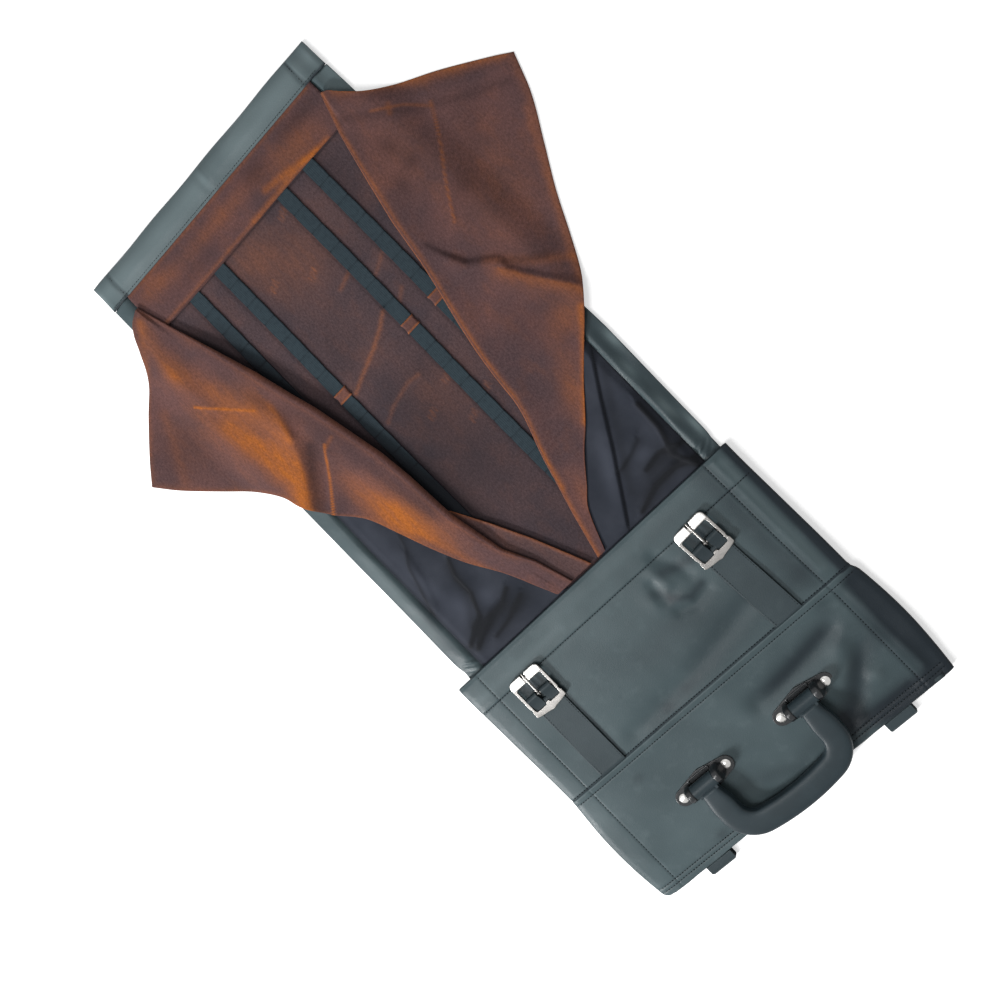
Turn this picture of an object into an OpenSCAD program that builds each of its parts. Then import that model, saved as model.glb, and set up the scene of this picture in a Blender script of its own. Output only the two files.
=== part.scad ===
// Roll-up knife display case, laid open with its flap and spine folded over the back.
// X runs across the case, Y from the bottom fold to the far end, Z up from the bench.
// Lengths are in millimetres.

/* [Shell] */
// Length of the back and display panels, from the bottom fold to the far end
shell_len = 835; // [780:1:900]
// Width of the shell over the back and the near half of the display
shell_w = 344; // [320:1:360]
// Width of the shell at the far end
shell_end_w = 322; // [300:1:340]
// How far the wide part of the shell lies right of the centre line
shell_shift = 3; // [-6:0.5:6]
// How far the far end lies right of the centre line
shell_end_shift = -2; // [-6:0.5:6]
// Where the shell starts to taper
taper_y = 450; // [400:1:520]
// The fold between the back and the display
fold_y = 298; // [280:1:330]
// Width of the turned hems along both sides
hem_w = 22; // [14:0.5:28]
// Length of the turned hem at the far end
end_hem_l = 31; // [20:0.5:40]
// Thickness of the imitation leather
vinyl_t = 2; // [1.2:0.1:2.6]
// Thickness of the padded panels inside the shell
panel_t = 1.5; // [1:0.1:2.5]
// Thickness of the wing cloth
cloth_t = 1; // [0.6:0.1:1.4]

/* [Display] */
// Length of the header band across the top of the elastics
header_l = 48; // [30:1:60]
// Thickness of the header band
header_t = 1.6; // [1:0.1:2.4]
// Width of one elastic band
elastic_w = 15.5; // [10:0.5:20]
// Thickness of the elastic
elastic_t = 1; // [0.6:0.1:1.4]
// How far each elastic loop stands off the panel between its stitches
loop_rise = 0.8; // [0.4:0.1:1.6]
// Spacing of the stitches that part the loops
loop_pitch = 24; // [16:1:32]
// Distance between the two bands of one column
pair_gap = 38; // [26:0.5:50]
// Centre of the left column of elastics
left_column_x = -72.5; // [-90:0.5:-60]
// Centre of the right column of elastics
right_column_x = 63.5; // [50:0.5:80]
// The cross fold where the elastics break, half way along the display
break_y = 582; // [540:1:620]
// Length of the cloth tab that bridges the break
tab_l = 10; // [6:0.5:16]

/* [Wings] */
// Distance from the end strip to the top of a wing's crease
wing_start = 16; // [8:1:40]
// Where the left wing's crease meets the fold, from the centre line
left_crease_low_x = -32; // [-60:1:-20]
// Where the right wing's crease meets the fold, from the centre line
right_crease_low_x = 24; // [14:1:60]
// Reach of the left wing's corner beyond its crease
left_corner_out = 158; // [120:1:190]
// Reach of the right wing's corner beyond its crease
right_corner_out = 174; // [120:1:190]
// Height of the soft folds in the wings
wing_fold_h = 2.5; // [0:0.1:5]
// Run over which a wing drops from the shell's edge to the bench
wing_drop_l = 38; // [25:1:60]
// How far the closed wing ends pass each other over the back
tail_lap = 12; // [4:1:30]

/* [Cover] */
// Width of the spine panel at its ends
spine_w = 364; // [340:1:380]
// How far the spine lies right of the centre line
spine_shift = 3; // [-4:0.5:5]
// How far each side of the spine bulges
spine_bulge = 4.5; // [0:0.5:10]
// The seam between the spine and the front flap
seam_y = 135; // [110:1:150]
// Width of the front flap
flap_w = 361; // [340:1:380]
// The front flap's free edge
flap_edge_y = 295; // [270:1:296]
// How far the flap's free edge leans to the left
flap_skew = 3; // [0:0.5:6]
// How far the cover lies right of the centre line
cover_shift = 1.5; // [-4:0.5:4]
// Thickness of the cover's lining
lining_t = 1; // [0.6:0.1:1.6]
// Width of the hem along the flap's free edge
flap_hem_w = 34.5; // [20:0.5:40]
// Thickness of that hem above the flap
flap_hem_t = 0.8; // [0.4:0.1:1.2]

/* [Straps] */
// Width of every strap
strap_w = 32; // [24:0.5:38]
// Thickness of every strap
strap_t = 2; // [1.4:0.1:2.6]
// Centre of the left buckle strap at the seam
left_strap_x = -120; // [-130:0.5:-110]
// Centre of the right buckle strap at the seam
right_strap_x = 110; // [106:0.5:125]
// Lean of the right buckle strap towards the centre
right_strap_lean = 3.8; // [0:0.1:5]
// Distance from the seam to the buckle's centre bar
strap_l = 104; // [80:1:115]
// Centre of the left billet strap under the case
left_billet_x = -112; // [-130:0.5:-100]
// Centre of the right billet strap under the case
right_billet_x = 117; // [100:0.5:130]
// Length of a billet's free end beyond the fold
billet_l = 330; // [250:1:380]
// Spacing of the billet's buckle holes
hole_pitch = 25; // [18:1:32]
// Radius of a buckle hole
hole_r = 2.2; // [1.5:0.1:3]
// How far the billet's end loops stand out past the bottom fold
loop_reach = 12.6; // [9:0.1:18]

/* [Buckles] */
// Length of the buckle frame
buckle_l = 46; // [40:0.5:54]
// Width of the side bars
side_bar = 4.2; // [3:0.1:6]
// Width of the bar that takes the prong's tip
top_bar = 10; // [7:0.5:13]
// Width of the curved bar near the strap
low_bar = 7; // [5:0.5:9]
// Distance from the frame's lower end to the centre bar
centre_bar_y = 20.5; // [19:0.5:24]
// Thickness of the frame
buckle_t = 3; // [2:0.1:4]
// Radius of the centre bar
centre_bar_r = 1.5; // [1.2:0.1:1.8]
// Width of the prong
prong_w = 3; // [2:0.1:3.6]
// Thickness of the prong
prong_t = 2; // [1.4:0.1:2.4]
// Wall of the prong's eye
eye_wall = 1; // [0.8:0.1:1.4]
// Height of the frame above its strap
buckle_lift = 0.7; // [0.5:0.1:1.5]
// How far the curved bar sags at its middle
low_bar_sag = 3; // [1:0.5:5]
// Radius of the frame's outer corners
buckle_corner_r = 5; // [2:0.5:6]

/* [Handle] */
// Distance between the two brackets
handle_pitch = 127; // [115:1:140]
// Height of the bracket pins above the bottom fold, along the spine
handle_y = 68.5; // [60:0.5:80]
// How far the handle lies right of the centre line
handle_shift = 0.5; // [-4:0.5:4]
// Reach of the grip from its pins to its outer edge
grip_reach = 80; // [70:0.5:95]
// Width of the grip
grip_w = 27; // [20:0.5:30]
// Thickness of the grip
grip_t = 13.6; // [10:0.2:14]
// Radius of the grip's corners, to the middle of its width
grip_corner_r = 26; // [20:0.5:34]
// Radius of the bow along the bottom of the grip
grip_bow_r = 250; // [180:5:500]
// Radius of the barrel that turns on the pin
barrel_r = 7.8; // [7:0.1:9]
// Radius of the bracket pin
pin_r = 2; // [1.5:0.1:3]
// Thickness of the bracket plate
plate_t = 1.8; // [1.2:0.1:2.4]
// Half the width of the bracket plate
plate_r = 13; // [11:0.5:16]
// Radius of the bracket plate's ends
plate_end_r = 7.5; // [6.5:0.1:9]
// Distance between the two rivets of a bracket
rivet_pitch = 55; // [52:0.5:62]
// Radius of a rivet's dome
rivet_r = 5.3; // [4:0.1:6]
// Height of a rivet's dome
rivet_h = 2.4; // [1.5:0.1:3]
// Width of a bracket ear
ear_w = 5.5; // [4:0.1:7]
// How far a bracket ear stands out round the barrel
ear_over = 1; // [0.4:0.1:2]
// Height of the barrel above its bracket plate
barrel_lift = 0.4; // [0.3:0.1:1]

/* [Hidden] */
$fn = 48;
// Play between pieces that lie on each other but move apart
lay_gap = 0.3;
// Running clearance of a pin or bar in its bore
run_gap = 0.05;
// Half the gap left at a folded edge
fold_gap = 0.4;
// How far the bottom fold stands out past the line it turns on
lip_over = 0.5;

// Heights of the layers, from the bench up
shell_z = strap_t + lay_gap;
panel_z = shell_z + vinyl_t;
top_z = panel_z + panel_t;
under_z = top_z + elastic_t + loop_rise + lay_gap;
wing_z = under_z + cloth_t + lay_gap;
cover_z = wing_z + cloth_t + lay_gap;
cover_top = cover_z + lining_t + vinyl_t;
strap_z = cover_top + lay_gap;
bar_z = strap_z + strap_t + buckle_lift + buckle_t / 2;
pin_z = cover_top + plate_t + barrel_lift + barrel_r;

// Stations along the case
end_y = shell_len;
header_top = end_y - end_hem_l;
header_y = header_top - header_l;
wing_top_y = header_top - wing_start;
display_y = fold_y + fold_gap;
back_end = fold_y - fold_gap;
lip_r = (cover_z - lay_gap - shell_z) / 2;
lip_y = lip_r - lip_over;
tail_y = lip_y + lip_r + vinyl_t;

// Outlines of the turned wings: each pair is how far down the crease, as a share of its
// length, and how far out from the crease
left_corner_down = 0.26;
left_corner_row = 7;
left_edge = [
    [0.004, 7], [0.014, 17], [0.033, 27], [0.063, 39], [0.106, 59], [0.158, 95], [0.217, 133],
    [left_corner_down, left_corner_out],
    [0.309, 143], [0.373, 118], [0.43, 95], [0.475, 82], [0.516, 79], [0.567, 69], [0.628, 51],
    [0.692, 44], [0.764, 38], [0.833, 30], [0.9, 18], [0.966, 10], [1, 6]];
right_corner_down = 0.215;
right_corner_row = 6;
right_edge = [
    [0.006, 7], [0.026, 17], [0.059, 37], [0.092, 65], [0.134, 106], [0.185, 150],
    [right_corner_down, right_corner_out],
    [0.293, 168], [0.37, 155], [0.445, 142], [0.522, 132], [0.591, 122], [0.638, 109],
    [0.693, 88], [0.738, 71], [0.795, 53], [0.833, 38], [0.883, 23], [0.921, 12], [1, 5]];
// How far the folded edge of each wing runs in from its hinge line
left_fold = [
    [0.002, 1], [0.078, 4], [0.172, 9.5], [0.262, 14.5], [0.338, 16], [0.401, 18], [0.477, 17.5],
    [0.555, 17], [0.628, 13], [0.706, 6.5], [0.743, 3.5], [0.86, 2], [0.921, 10.5], [1, 14]];
right_fold = [
    [0.002, 1], [0.077, 5.5], [0.165, 6.5], [0.266, 6.7], [0.356, 3.5], [0.512, 1.5],
    [0.669, 1.5], [0.744, 3], [0.833, 3.6], [0.909, 6], [1, 7.4]];
// Lower lap of the left wing, seen past its folded edge
left_lap = [[0.73, 3], [0.809, 16.5], [0.884, 27], [0.954, 34.5], [1, 39]];

// Centre of the outline in plan, which is the origin
low_y = min(-loop_reach, handle_y - grip_reach);
left_x = crease_x(-1, down_y(left_corner_down)) - left_corner_out;
right_x = crease_x(1, down_y(right_corner_down)) + right_corner_out;
mid_x = (left_x + right_x) / 2;
mid_y = (low_y + end_y) / 2;

vinyl = [0.31, 0.35, 0.36];
black_cloth = [0.16, 0.18, 0.21];
brown_cloth = [0.38, 0.21, 0.14];
elastic = [0.2, 0.26, 0.29];
black_metal = [0.15, 0.16, 0.18];
bright_metal = [0.85, 0.85, 0.83];

function mix(a, b, t) = a + (b - a) * t;
function past_taper(y) = max(0, (y - taper_y) / (end_y - taper_y));
// The shell's left (-1) or right (1) edge, and the seam along its hem
function shell_x(side, y) =
    mix(shell_shift, shell_end_shift, past_taper(y))
    + side * mix(shell_w, shell_end_w, past_taper(y)) / 2;
function seam_x(side, y) = shell_x(side, y) - side * hem_w;
// A wing's crease: its Y at a share of its length, and its X at that Y
function down_y(down) = mix(wing_top_y, display_y, down);
function crease_x(side, y) =
    mix(seam_x(side, wing_top_y), side < 0 ? left_crease_low_x : right_crease_low_x,
        (wing_top_y - y) / (wing_top_y - display_y));
function smooth(t) = t <= 0 ? 0 : t >= 1 ? 1 : t * t * (3 - 2 * t);

module on_bench() {
    translate([-mid_x, -mid_y, 0])
        children();
}

// A flat layer from height z
module layer(z, t) {
    translate([0, 0, z])
        linear_extrude(t)
            children();
}

// Outline between the shell's two edges, or the two hem seams, over a stretch of its length
module shell_plan(y0, y1, inset = 0) {
    ys = [for (y = [y0, taper_y, y1]) if (y == y0 || y == y1 || (y > y0 && y < y1)) y];
    last = len(ys) - 1;
    polygon(concat(
        [for (y = ys) [shell_x(-1, y) + inset, y]],
        [for (k = [0:last]) [shell_x(1, ys[last - k]) - inset, ys[last - k]]]));
}

// One side hem, from the shell's edge in to the seam
module hem_plan(side, y0, y1) {
    intersection() {
        shell_plan(y0, y1);
        polygon([
            [seam_x(side, y0), y0], [seam_x(side, taper_y), max(y0, min(y1, taper_y))],
            [seam_x(side, y1), y1], [shell_x(side, y1) + side, y1],
            [shell_x(side, taper_y) + side, max(y0, min(y1, taper_y))],
            [shell_x(side, y0) + side, y0]]);
    }
}

// Rounded roll of the shell where it turns up at the bottom fold
module bottom_lip() {
    translate([shell_x(-1, 0), lip_y, shell_z + lip_r])
        rotate([90, 0, 90])
            linear_extrude(shell_w)
                difference() {
                    union() {
                        circle(lip_r);
                        translate([0, lip_r - vinyl_t])
                            square([lip_r * 0.8, vinyl_t]);
                    }
                    circle(lip_r - vinyl_t);
                    translate([0, -lip_r])
                        square([2 * lip_r, 2 * lip_r - vinyl_t]);
                }
}

module back_shell() {
    color(vinyl) on_bench() {
        layer(shell_z, vinyl_t)
            shell_plan(lip_y, back_end);
        bottom_lip();
    }
}

module back_lining() {
    color(black_cloth) on_bench()
        layer(panel_z, panel_t)
            shell_plan(tail_y, back_end, hem_w);
}

module back_hems() {
    color(vinyl) on_bench()
        for (side = [-1, 1])
            layer(panel_z, vinyl_t)
                hem_plan(side, tail_y, back_end);
}

// The closed lower end of a wing, flat over the back
module wing_tail(side, z) {
    color(black_cloth) on_bench()
        layer(z, cloth_t)
            polygon([
                [seam_x(side, tail_y), tail_y], [-side * tail_lap, tail_y],
                [-side * tail_lap, back_end], [seam_x(side, back_end), back_end]]);
}

// A billet strap sewn along the back, with its end curled up past the bottom fold
module billet_strap(x) {
    curl_r = (cover_z - lay_gap * 3) / 2;
    curl_y = curl_r - loop_reach;
    color(vinyl) on_bench()
        translate([x - strap_w / 2, 0, 0])
            rotate([90, 0, 90])
                linear_extrude(strap_w)
                    union() {
                        translate([curl_y, 0])
                            square([back_end - curl_y, strap_t]);
                        difference() {
                            translate([curl_y, curl_r])
                                circle(curl_r);
                            translate([curl_y, curl_r])
                                circle(curl_r - strap_t);
                            translate([curl_y, -1])
                                square([2 * curl_r, 2 * curl_r + 2]);
                        }
                        translate([curl_y, 2 * curl_r - strap_t])
                            square([lip_y - lip_r - lay_gap - curl_y, strap_t]);
                    }
}

// A billet's free end, punched for the buckle and cut to a point
module billet_end(x) {
    tip_y = display_y + billet_l;
    color(vinyl) on_bench()
        layer(0, strap_t)
            difference() {
                translate([x, 0])
                    polygon([
                        [-strap_w / 2, display_y], [strap_w / 2, display_y],
                        [strap_w / 2, tip_y - strap_w / 2], [strap_w / 8, tip_y],
                        [-strap_w / 8, tip_y], [-strap_w / 2, tip_y - strap_w / 2]]);
                for (k = [1:6])
                    translate([x, tip_y - strap_w / 2 - k * hole_pitch])
                        circle(hole_r);
            }
}

module display_shell() {
    color(vinyl) on_bench()
        layer(shell_z, vinyl_t)
            shell_plan(display_y, end_y);
}

module display_hems() {
    color(vinyl) on_bench()
        for (side = [-1, 1])
            layer(panel_z, vinyl_t)
                hem_plan(side, display_y, header_top);
}

module display_panel() {
    color(brown_cloth) on_bench()
        layer(panel_z, panel_t) {
            shell_plan(display_y, header_top, hem_w);
            shell_plan(header_top, end_y - vinyl_t);
        }
}

// The shell turned back over its own end
module end_strip() {
    color(vinyl) on_bench() {
        layer(top_z, vinyl_t)
            shell_plan(header_top + lay_gap, end_y);
        layer(panel_z, panel_t)
            shell_plan(end_y - vinyl_t, end_y);
    }
}

module header_band() {
    color(brown_cloth) on_bench()
        layer(top_z, header_t)
            shell_plan(header_y, header_top, hem_w);
}

// One elastic band, sewn down every loop_pitch and standing off between the stitches
module elastic_band(x, y0, y1) {
    loops = max(1, round((y1 - y0) / loop_pitch));
    steps = 6;
    marks = [for (k = [0:loops * steps]) k];
    span = y1 - y0;
    function lift(k) = loop_rise * pow(sin(180 * k / steps), 2);
    function along(k) = y0 + span * k / (loops * steps);
    last = len(marks) - 1;
    color(elastic) on_bench()
        translate([x - elastic_w / 2, 0, top_z])
            rotate([90, 0, 90])
                linear_extrude(elastic_w)
                    polygon(concat(
                        [for (k = marks) [along(k), lift(k)]],
                        [for (k = marks) [along(last - k), lift(last - k) + elastic_t]]));
}

function band_x(k) =
    (k < 2 ? left_column_x : right_column_x) + (k % 2 == 0 ? -1 : 1) * pair_gap / 2;
module elastic_upper(k) {
    elastic_band(band_x(k), break_y + tab_l / 2, header_y);
}
module elastic_lower(k) {
    elastic_band(band_x(k), display_y, break_y - tab_l / 2);
}

// Cloth tabs that carry the elastics over the cross fold
module bridge_tabs() {
    color(brown_cloth) on_bench()
        for (k = [0:3])
            translate([band_x(k) - elastic_w * 0.55, break_y - tab_l / 2, top_z])
                cube([elastic_w * 1.1, tab_l, elastic_t * 1.2]);
}

// Points along a wing's crease line, moved in (+) or out (-) from it
function crease_run(side, list, gap) =
    [for (p = list) [crease_x(side, down_y(p[0])) - side * (p[1] + gap), down_y(p[0])]];
function backwards(list) = [for (k = [len(list) - 1:-1:0]) list[k]];
function flat(list) = [for (p = list) [p[0], 0]];

// The lower ply of a wing, still folded over the display and sewn down along the hem's seam
module wing_under(side) {
    foot_w = 4;
    color(black_cloth) on_bench() {
        layer(under_z, cloth_t)
            polygon([
                [seam_x(side, wing_top_y) + side, wing_top_y], [seam_x(side, taper_y), taper_y],
                [seam_x(side, display_y), display_y],
                [crease_x(side, display_y) + side * lay_gap, display_y]]);
        layer(top_z, under_z - top_z)
            polygon([
                [seam_x(side, header_y), header_y], [seam_x(side, taper_y), taper_y],
                [seam_x(side, display_y), display_y],
                [seam_x(side, display_y) - side * foot_w, display_y],
                [seam_x(side, taper_y) - side * foot_w, taper_y],
                [seam_x(side, header_y) - side * foot_w, header_y]]);
    }
}

// The folded edge that joins the two plies of a wing, on the inner side of the hinge line
module wing_fold(side, list, lap) {
    color(brown_cloth) on_bench() {
        layer(under_z, wing_z + cloth_t - under_z)
            polygon(concat(crease_run(side, list, 0), backwards(crease_run(side, flat(list), 0))));
        if (len(lap) > 0)
            layer(under_z, cloth_t)
                polygon(concat(crease_run(side, lap, 0), backwards(crease_run(side, flat(lap), 0))));
    }
}

// The turned-out ply of a wing: it lies on the lower ply and drops off the shell to the bench
wing_cols = 8;
function wing_plan(side, edge, corner, i, v) =
    let (down = edge[i][0], root = i < corner ? edge[corner][0] * i / corner : down)
    mix([crease_x(side, down_y(root)) + side * lay_gap, down_y(root)],
        [crease_x(side, down_y(down)) + side * edge[i][1], down_y(down)], v);
function wing_low(side, p) =
    let (past = side * (p[0] - shell_x(side, p[1])))
    mix(wing_z, lay_gap, smooth(past / wing_drop_l));
// Soft folds that fan out from the crease and flatten towards the edge
wing_waves = 2.5;
function wing_soft(i, rows, v) =
    wing_fold_h * pow(sin(180 * wing_waves * i / rows), 2) * smooth(v * 1.6) * (1 - 0.6 * v);
module wing(side, edge, corner) {
    rows = len(edge) - 1;
    cols = wing_cols;
    count = (rows + 1) * (cols + 1);
    low = [for (i = [0:rows]) for (j = [0:cols])
        let (p = wing_plan(side, edge, corner, i, j / cols))
        [p[0], p[1], wing_low(side, p) + wing_soft(i, rows, j / cols)]];
    high = [for (p = low) p + [0, 0, cloth_t]];
    function at(i, j) = i * (cols + 1) + j;
    function turn(f) = side < 0 ? f : [f[2], f[1], f[0]];
    sheet = [for (i = [0:rows - 1]) for (j = [0:cols - 1]) for (f = [
        [at(i, j), at(i + 1, j), at(i + 1, j + 1)],
        [at(i, j), at(i + 1, j + 1), at(i, j + 1)]]) f];
    rim = concat(
        [for (j = [0:cols - 1]) [at(0, j), at(0, j + 1)]],
        [for (i = [0:rows - 1]) [at(i, cols), at(i + 1, cols)]],
        [for (j = [0:cols - 1]) [at(rows, cols - j), at(rows, cols - j - 1)]],
        [for (i = [0:rows - 1]) [at(rows - i, 0), at(rows - i - 1, 0)]]);
    color(brown_cloth) on_bench()
        polyhedron(
            points = concat(low, high),
            faces = [for (f = concat(
                [for (f = sheet) [f[2], f[1], f[0]]],
                [for (f = sheet) [f[0] + count, f[1] + count, f[2] + count]],
                [for (e = rim) [e[1], e[0], e[0] + count]],
                [for (e = rim) [e[1], e[0] + count, e[1] + count]])) turn(f)]);
}

// Outline of the spine, with both sides bulging between its ends
module spine_plan() {
    steps = 8;
    y0 = lip_over * 2;
    y1 = seam_y - fold_gap;
    function side_x(k) = spine_w / 2 + spine_bulge * sin(180 * k / steps);
    polygon(concat(
        [for (k = [0:steps]) [spine_shift + side_x(k), mix(y0, y1, k / steps)]],
        [for (k = [steps:-1:0]) [spine_shift - side_x(k), mix(y0, y1, k / steps)]]));
}

module rivet_places() {
    for (side = [-1, 1])
        for (end = [-1, 1])
            translate([
                handle_shift + side * handle_pitch / 2 + end * rivet_pitch / 2, handle_y, 0])
                children();
}
shank_r = rivet_r * 0.34;

module spine_panel() {
    color(vinyl) on_bench()
        difference() {
            layer(cover_z + lining_t, vinyl_t)
                spine_plan();
            rivet_places()
                cylinder(r = shank_r + run_gap, h = cover_top + 1);
        }
}

module spine_lining() {
    color(black_cloth) on_bench()
        difference() {
            layer(cover_z, lining_t)
                spine_plan();
            rivet_places()
                cylinder(r = shank_r + run_gap, h = cover_top + 1);
        }
}

// Raised edge of the seam, on the spine's side of it
module seam_welt() {
    welt_w = 5;
    color(vinyl) on_bench()
        translate([cover_shift - flap_w / 2, seam_y - fold_gap - welt_w, cover_top])
            cube([flap_w, welt_w, lay_gap * 2]);
}

// Points along an arc, each with its angle
function arc_run(x, y, r, a0, a1, steps) =
    [for (k = [0:steps]) let (a = mix(a0, a1, k / steps)) [x + r * cos(a), y + r * sin(a), a]];
function plan(list) = [for (p = list) [p[0], p[1]]];

// Bracket plate: a round middle drawn in to two round ends
module plate_plan() {
    reach = rivet_pitch / 2;
    lean = acos((plate_r - plate_end_r) / reach);
    polygon(plan(concat(
        arc_run(reach, 0, plate_end_r, -lean, lean, 8),
        arc_run(0, 0, plate_r, lean, 180 - lean, 6),
        arc_run(-reach, 0, plate_end_r, 180 - lean, 180 + lean, 8),
        arc_run(0, 0, plate_r, 180 + lean, 360 - lean, 6))));
}

// Bracket with the two ears that hold the pin on both sides of the grip's barrel
module handle_bracket(side) {
    ear_r = barrel_r + ear_over;
    rise = pin_z - cover_top - plate_t;
    color(black_metal) on_bench()
        translate([handle_shift + side * handle_pitch / 2, handle_y, cover_top]) {
            linear_extrude(plate_t)
                difference() {
                    plate_plan();
                    for (end = [-1, 1])
                        translate([end * rivet_pitch / 2, 0])
                            circle(shank_r + run_gap);
                }
            for (end = [-1, 1])
                translate([end * (grip_w / 2 + lay_gap + ear_w / 2), 0, plate_t])
                    difference() {
                        rotate([90, 0, 90])
                            linear_extrude(ear_w, center = true)
                                polygon(plan(concat(
                                    [[-ear_r, 0, 0], [ear_r, 0, 0]],
                                    arc_run(0, rise, ear_r, 0, 180, 16))));
                        translate([0, 0, rise])
                            rotate([0, 90, 0])
                                cylinder(r = pin_r, h = ear_w + 2, center = true);
                    }
        }
}

module handle_pin(side) {
    color(black_metal) on_bench()
        translate([handle_shift + side * handle_pitch / 2, handle_y, pin_z])
            rotate([0, 90, 0])
                cylinder(r = pin_r, h = grip_w + 2 * (lay_gap + ear_w), center = true);
}

// Domed rivets through the plate, the panel and its lining
module bracket_rivets() {
    dome_r = (rivet_r * rivet_r + rivet_h * rivet_h) / (2 * rivet_h);
    seat_z = cover_top + plate_t;
    color(bright_metal) on_bench()
        rivet_places() {
            translate([0, 0, seat_z])
                intersection() {
                    translate([0, 0, rivet_h - dome_r])
                        sphere(dome_r);
                    cylinder(r = rivet_r + 1, h = rivet_h + 1);
                }
            translate([0, 0, cover_z - lining_t])
                cylinder(r = shank_r, h = seat_z - cover_z + lining_t);
        }
}

module rivet_washers() {
    color(black_metal) on_bench()
        rivet_places()
            translate([0, 0, cover_z - lining_t])
                difference() {
                    cylinder(r = rivet_r, h = lining_t);
                    translate([0, 0, -1])
                        cylinder(r = shank_r, h = lining_t + 2);
                }
}

// Middle line of the grip, from the left barrel round to the right one: each entry is a
// point and the angle of the line's outer side
neck_y = -(barrel_r + ear_over);
grip_half = handle_pitch / 2;
bow_y = grip_bow_r - (grip_reach - grip_w / 2);
tuck = grip_half - grip_corner_r;
bow_swing = asin(tuck / (grip_bow_r - grip_corner_r));
corner_y = bow_y - (grip_bow_r - grip_corner_r) * cos(bow_swing);
function without_first(list) = [for (k = [1:len(list) - 1]) list[k]];
grip_line = concat(
    [[-grip_half, neck_y, 180]],
    arc_run(-tuck, corner_y, grip_corner_r, 180, 270 - bow_swing, 8),
    without_first(arc_run(0, bow_y, grip_bow_r, 270 - bow_swing, 270 + bow_swing, 10)),
    without_first(arc_run(tuck, corner_y, grip_corner_r, 270 + bow_swing, 360, 8)),
    [[grip_half, neck_y, 360]]);

// Cross-section of the grip: a soft-cornered oval, as points round its edge
grip_sides = 16;
function soft(c) = sign(c) * pow(abs(c), 0.72);
function grip_ring(p) = [for (k = [0:grip_sides - 1])
    let (a = 360 * (k + 0.5) / grip_sides, out = grip_w / 2 * soft(cos(a)))
    [p[0] + out * cos(p[2]), p[1] + out * sin(p[2]), grip_t / 2 * soft(sin(a))]];

// Moulded grip: its oval section swept down two legs and along the bowed bar
module handle_grip() {
    rings = len(grip_line);
    sides = grip_sides;
    function at(i, k) = i * sides + k % sides;
    color(black_metal) on_bench()
        translate([handle_shift, handle_y, pin_z])
            polyhedron(
                points = [for (p = grip_line) for (q = grip_ring(p)) q],
                faces = concat(
                    [[for (k = [0:sides - 1]) at(0, k)]],
                    [[for (k = [sides - 1:-1:0]) at(rings - 1, k)]],
                    [for (i = [0:rings - 2]) for (k = [0:sides - 1])
                        [at(i, k), at(i + 1, k), at(i + 1, k + 1)]],
                    [for (i = [0:rings - 2]) for (k = [0:sides - 1])
                        [at(i, k), at(i + 1, k + 1), at(i, k + 1)]]));
}

// Barrels on the ends of the grip's legs, bored for the bracket pins
module grip_barrels() {
    neck_w = grip_w * 0.8;
    neck_t = grip_t * 0.8;
    color(black_metal) on_bench()
        for (side = [-1, 1])
            translate([handle_shift + side * grip_half, handle_y, pin_z])
                difference() {
                    union() {
                        rotate([0, 90, 0])
                            cylinder(r = barrel_r, h = grip_w, center = true);
                        translate([-neck_w / 2, neck_y, -neck_t / 2])
                            cube([neck_w, -neck_y, neck_t]);
                    }
                    rotate([0, 90, 0])
                        cylinder(r = pin_r + run_gap, h = grip_w + 2, center = true);
                }
}

// Outline of the front flap over a stretch of its length
module flap_plan(y0, y1) {
    function skew(y) = cover_shift - flap_skew * smooth((y - seam_y) / (flap_edge_y - seam_y));
    steps = 6;
    ys = [for (k = [0:steps]) mix(y0, y1, k / steps)];
    polygon(concat(
        [for (y = ys) [skew(y) - flap_w / 2, y]],
        [for (k = [steps:-1:0]) [skew(ys[k]) + flap_w / 2, ys[k]]]));
}

module flap_panel() {
    color(vinyl) on_bench()
        layer(cover_z + lining_t, vinyl_t)
            flap_plan(seam_y + fold_gap, flap_edge_y);
}

module flap_lining() {
    color(black_cloth) on_bench()
        layer(cover_z, lining_t)
            flap_plan(seam_y + fold_gap, flap_edge_y - lining_t);
}

module flap_hem() {
    color(vinyl) on_bench()
        layer(cover_top, flap_hem_t)
            flap_plan(flap_edge_y - flap_hem_w, flap_edge_y);
}

strap_y = seam_y + 2;
bore_r = centre_bar_r + run_gap;
slot_w = prong_w + 2;

module at_strap(side) {
    translate([side < 0 ? left_strap_x : right_strap_x, strap_y, 0])
        rotate([0, 0, side < 0 ? 0 : right_strap_lean])
            children();
}

// Buckle strap: flat on the flap, wrapped round the centre bar and sewn back on itself
module buckle_strap(side) {
    wrap_r = bore_r + strap_t;
    rise = bar_z - strap_z;
    back = centre_bar_y - low_bar - bore_r;
    color(vinyl) on_bench() at_strap(side)
        difference() {
            translate([-strap_w / 2, 0, strap_z])
                rotate([90, 0, 90])
                    linear_extrude(strap_w)
                        difference() {
                            union() {
                                square([strap_l, strap_t]);
                                translate([strap_l, rise])
                                    circle(wrap_r);
                                polygon([
                                    [strap_l - back, strap_t], [strap_l, strap_t],
                                    [strap_l, rise + wrap_r]]);
                                translate([strap_l, 0])
                                    square([wrap_r * 0.7, strap_t]);
                            }
                            translate([strap_l, rise])
                                circle(bore_r);
                        }
            translate([-slot_w / 2, strap_l - back * 0.6, strap_z - 1])
                cube([slot_w, back, rise + wrap_r + 2]);
        }
}

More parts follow.
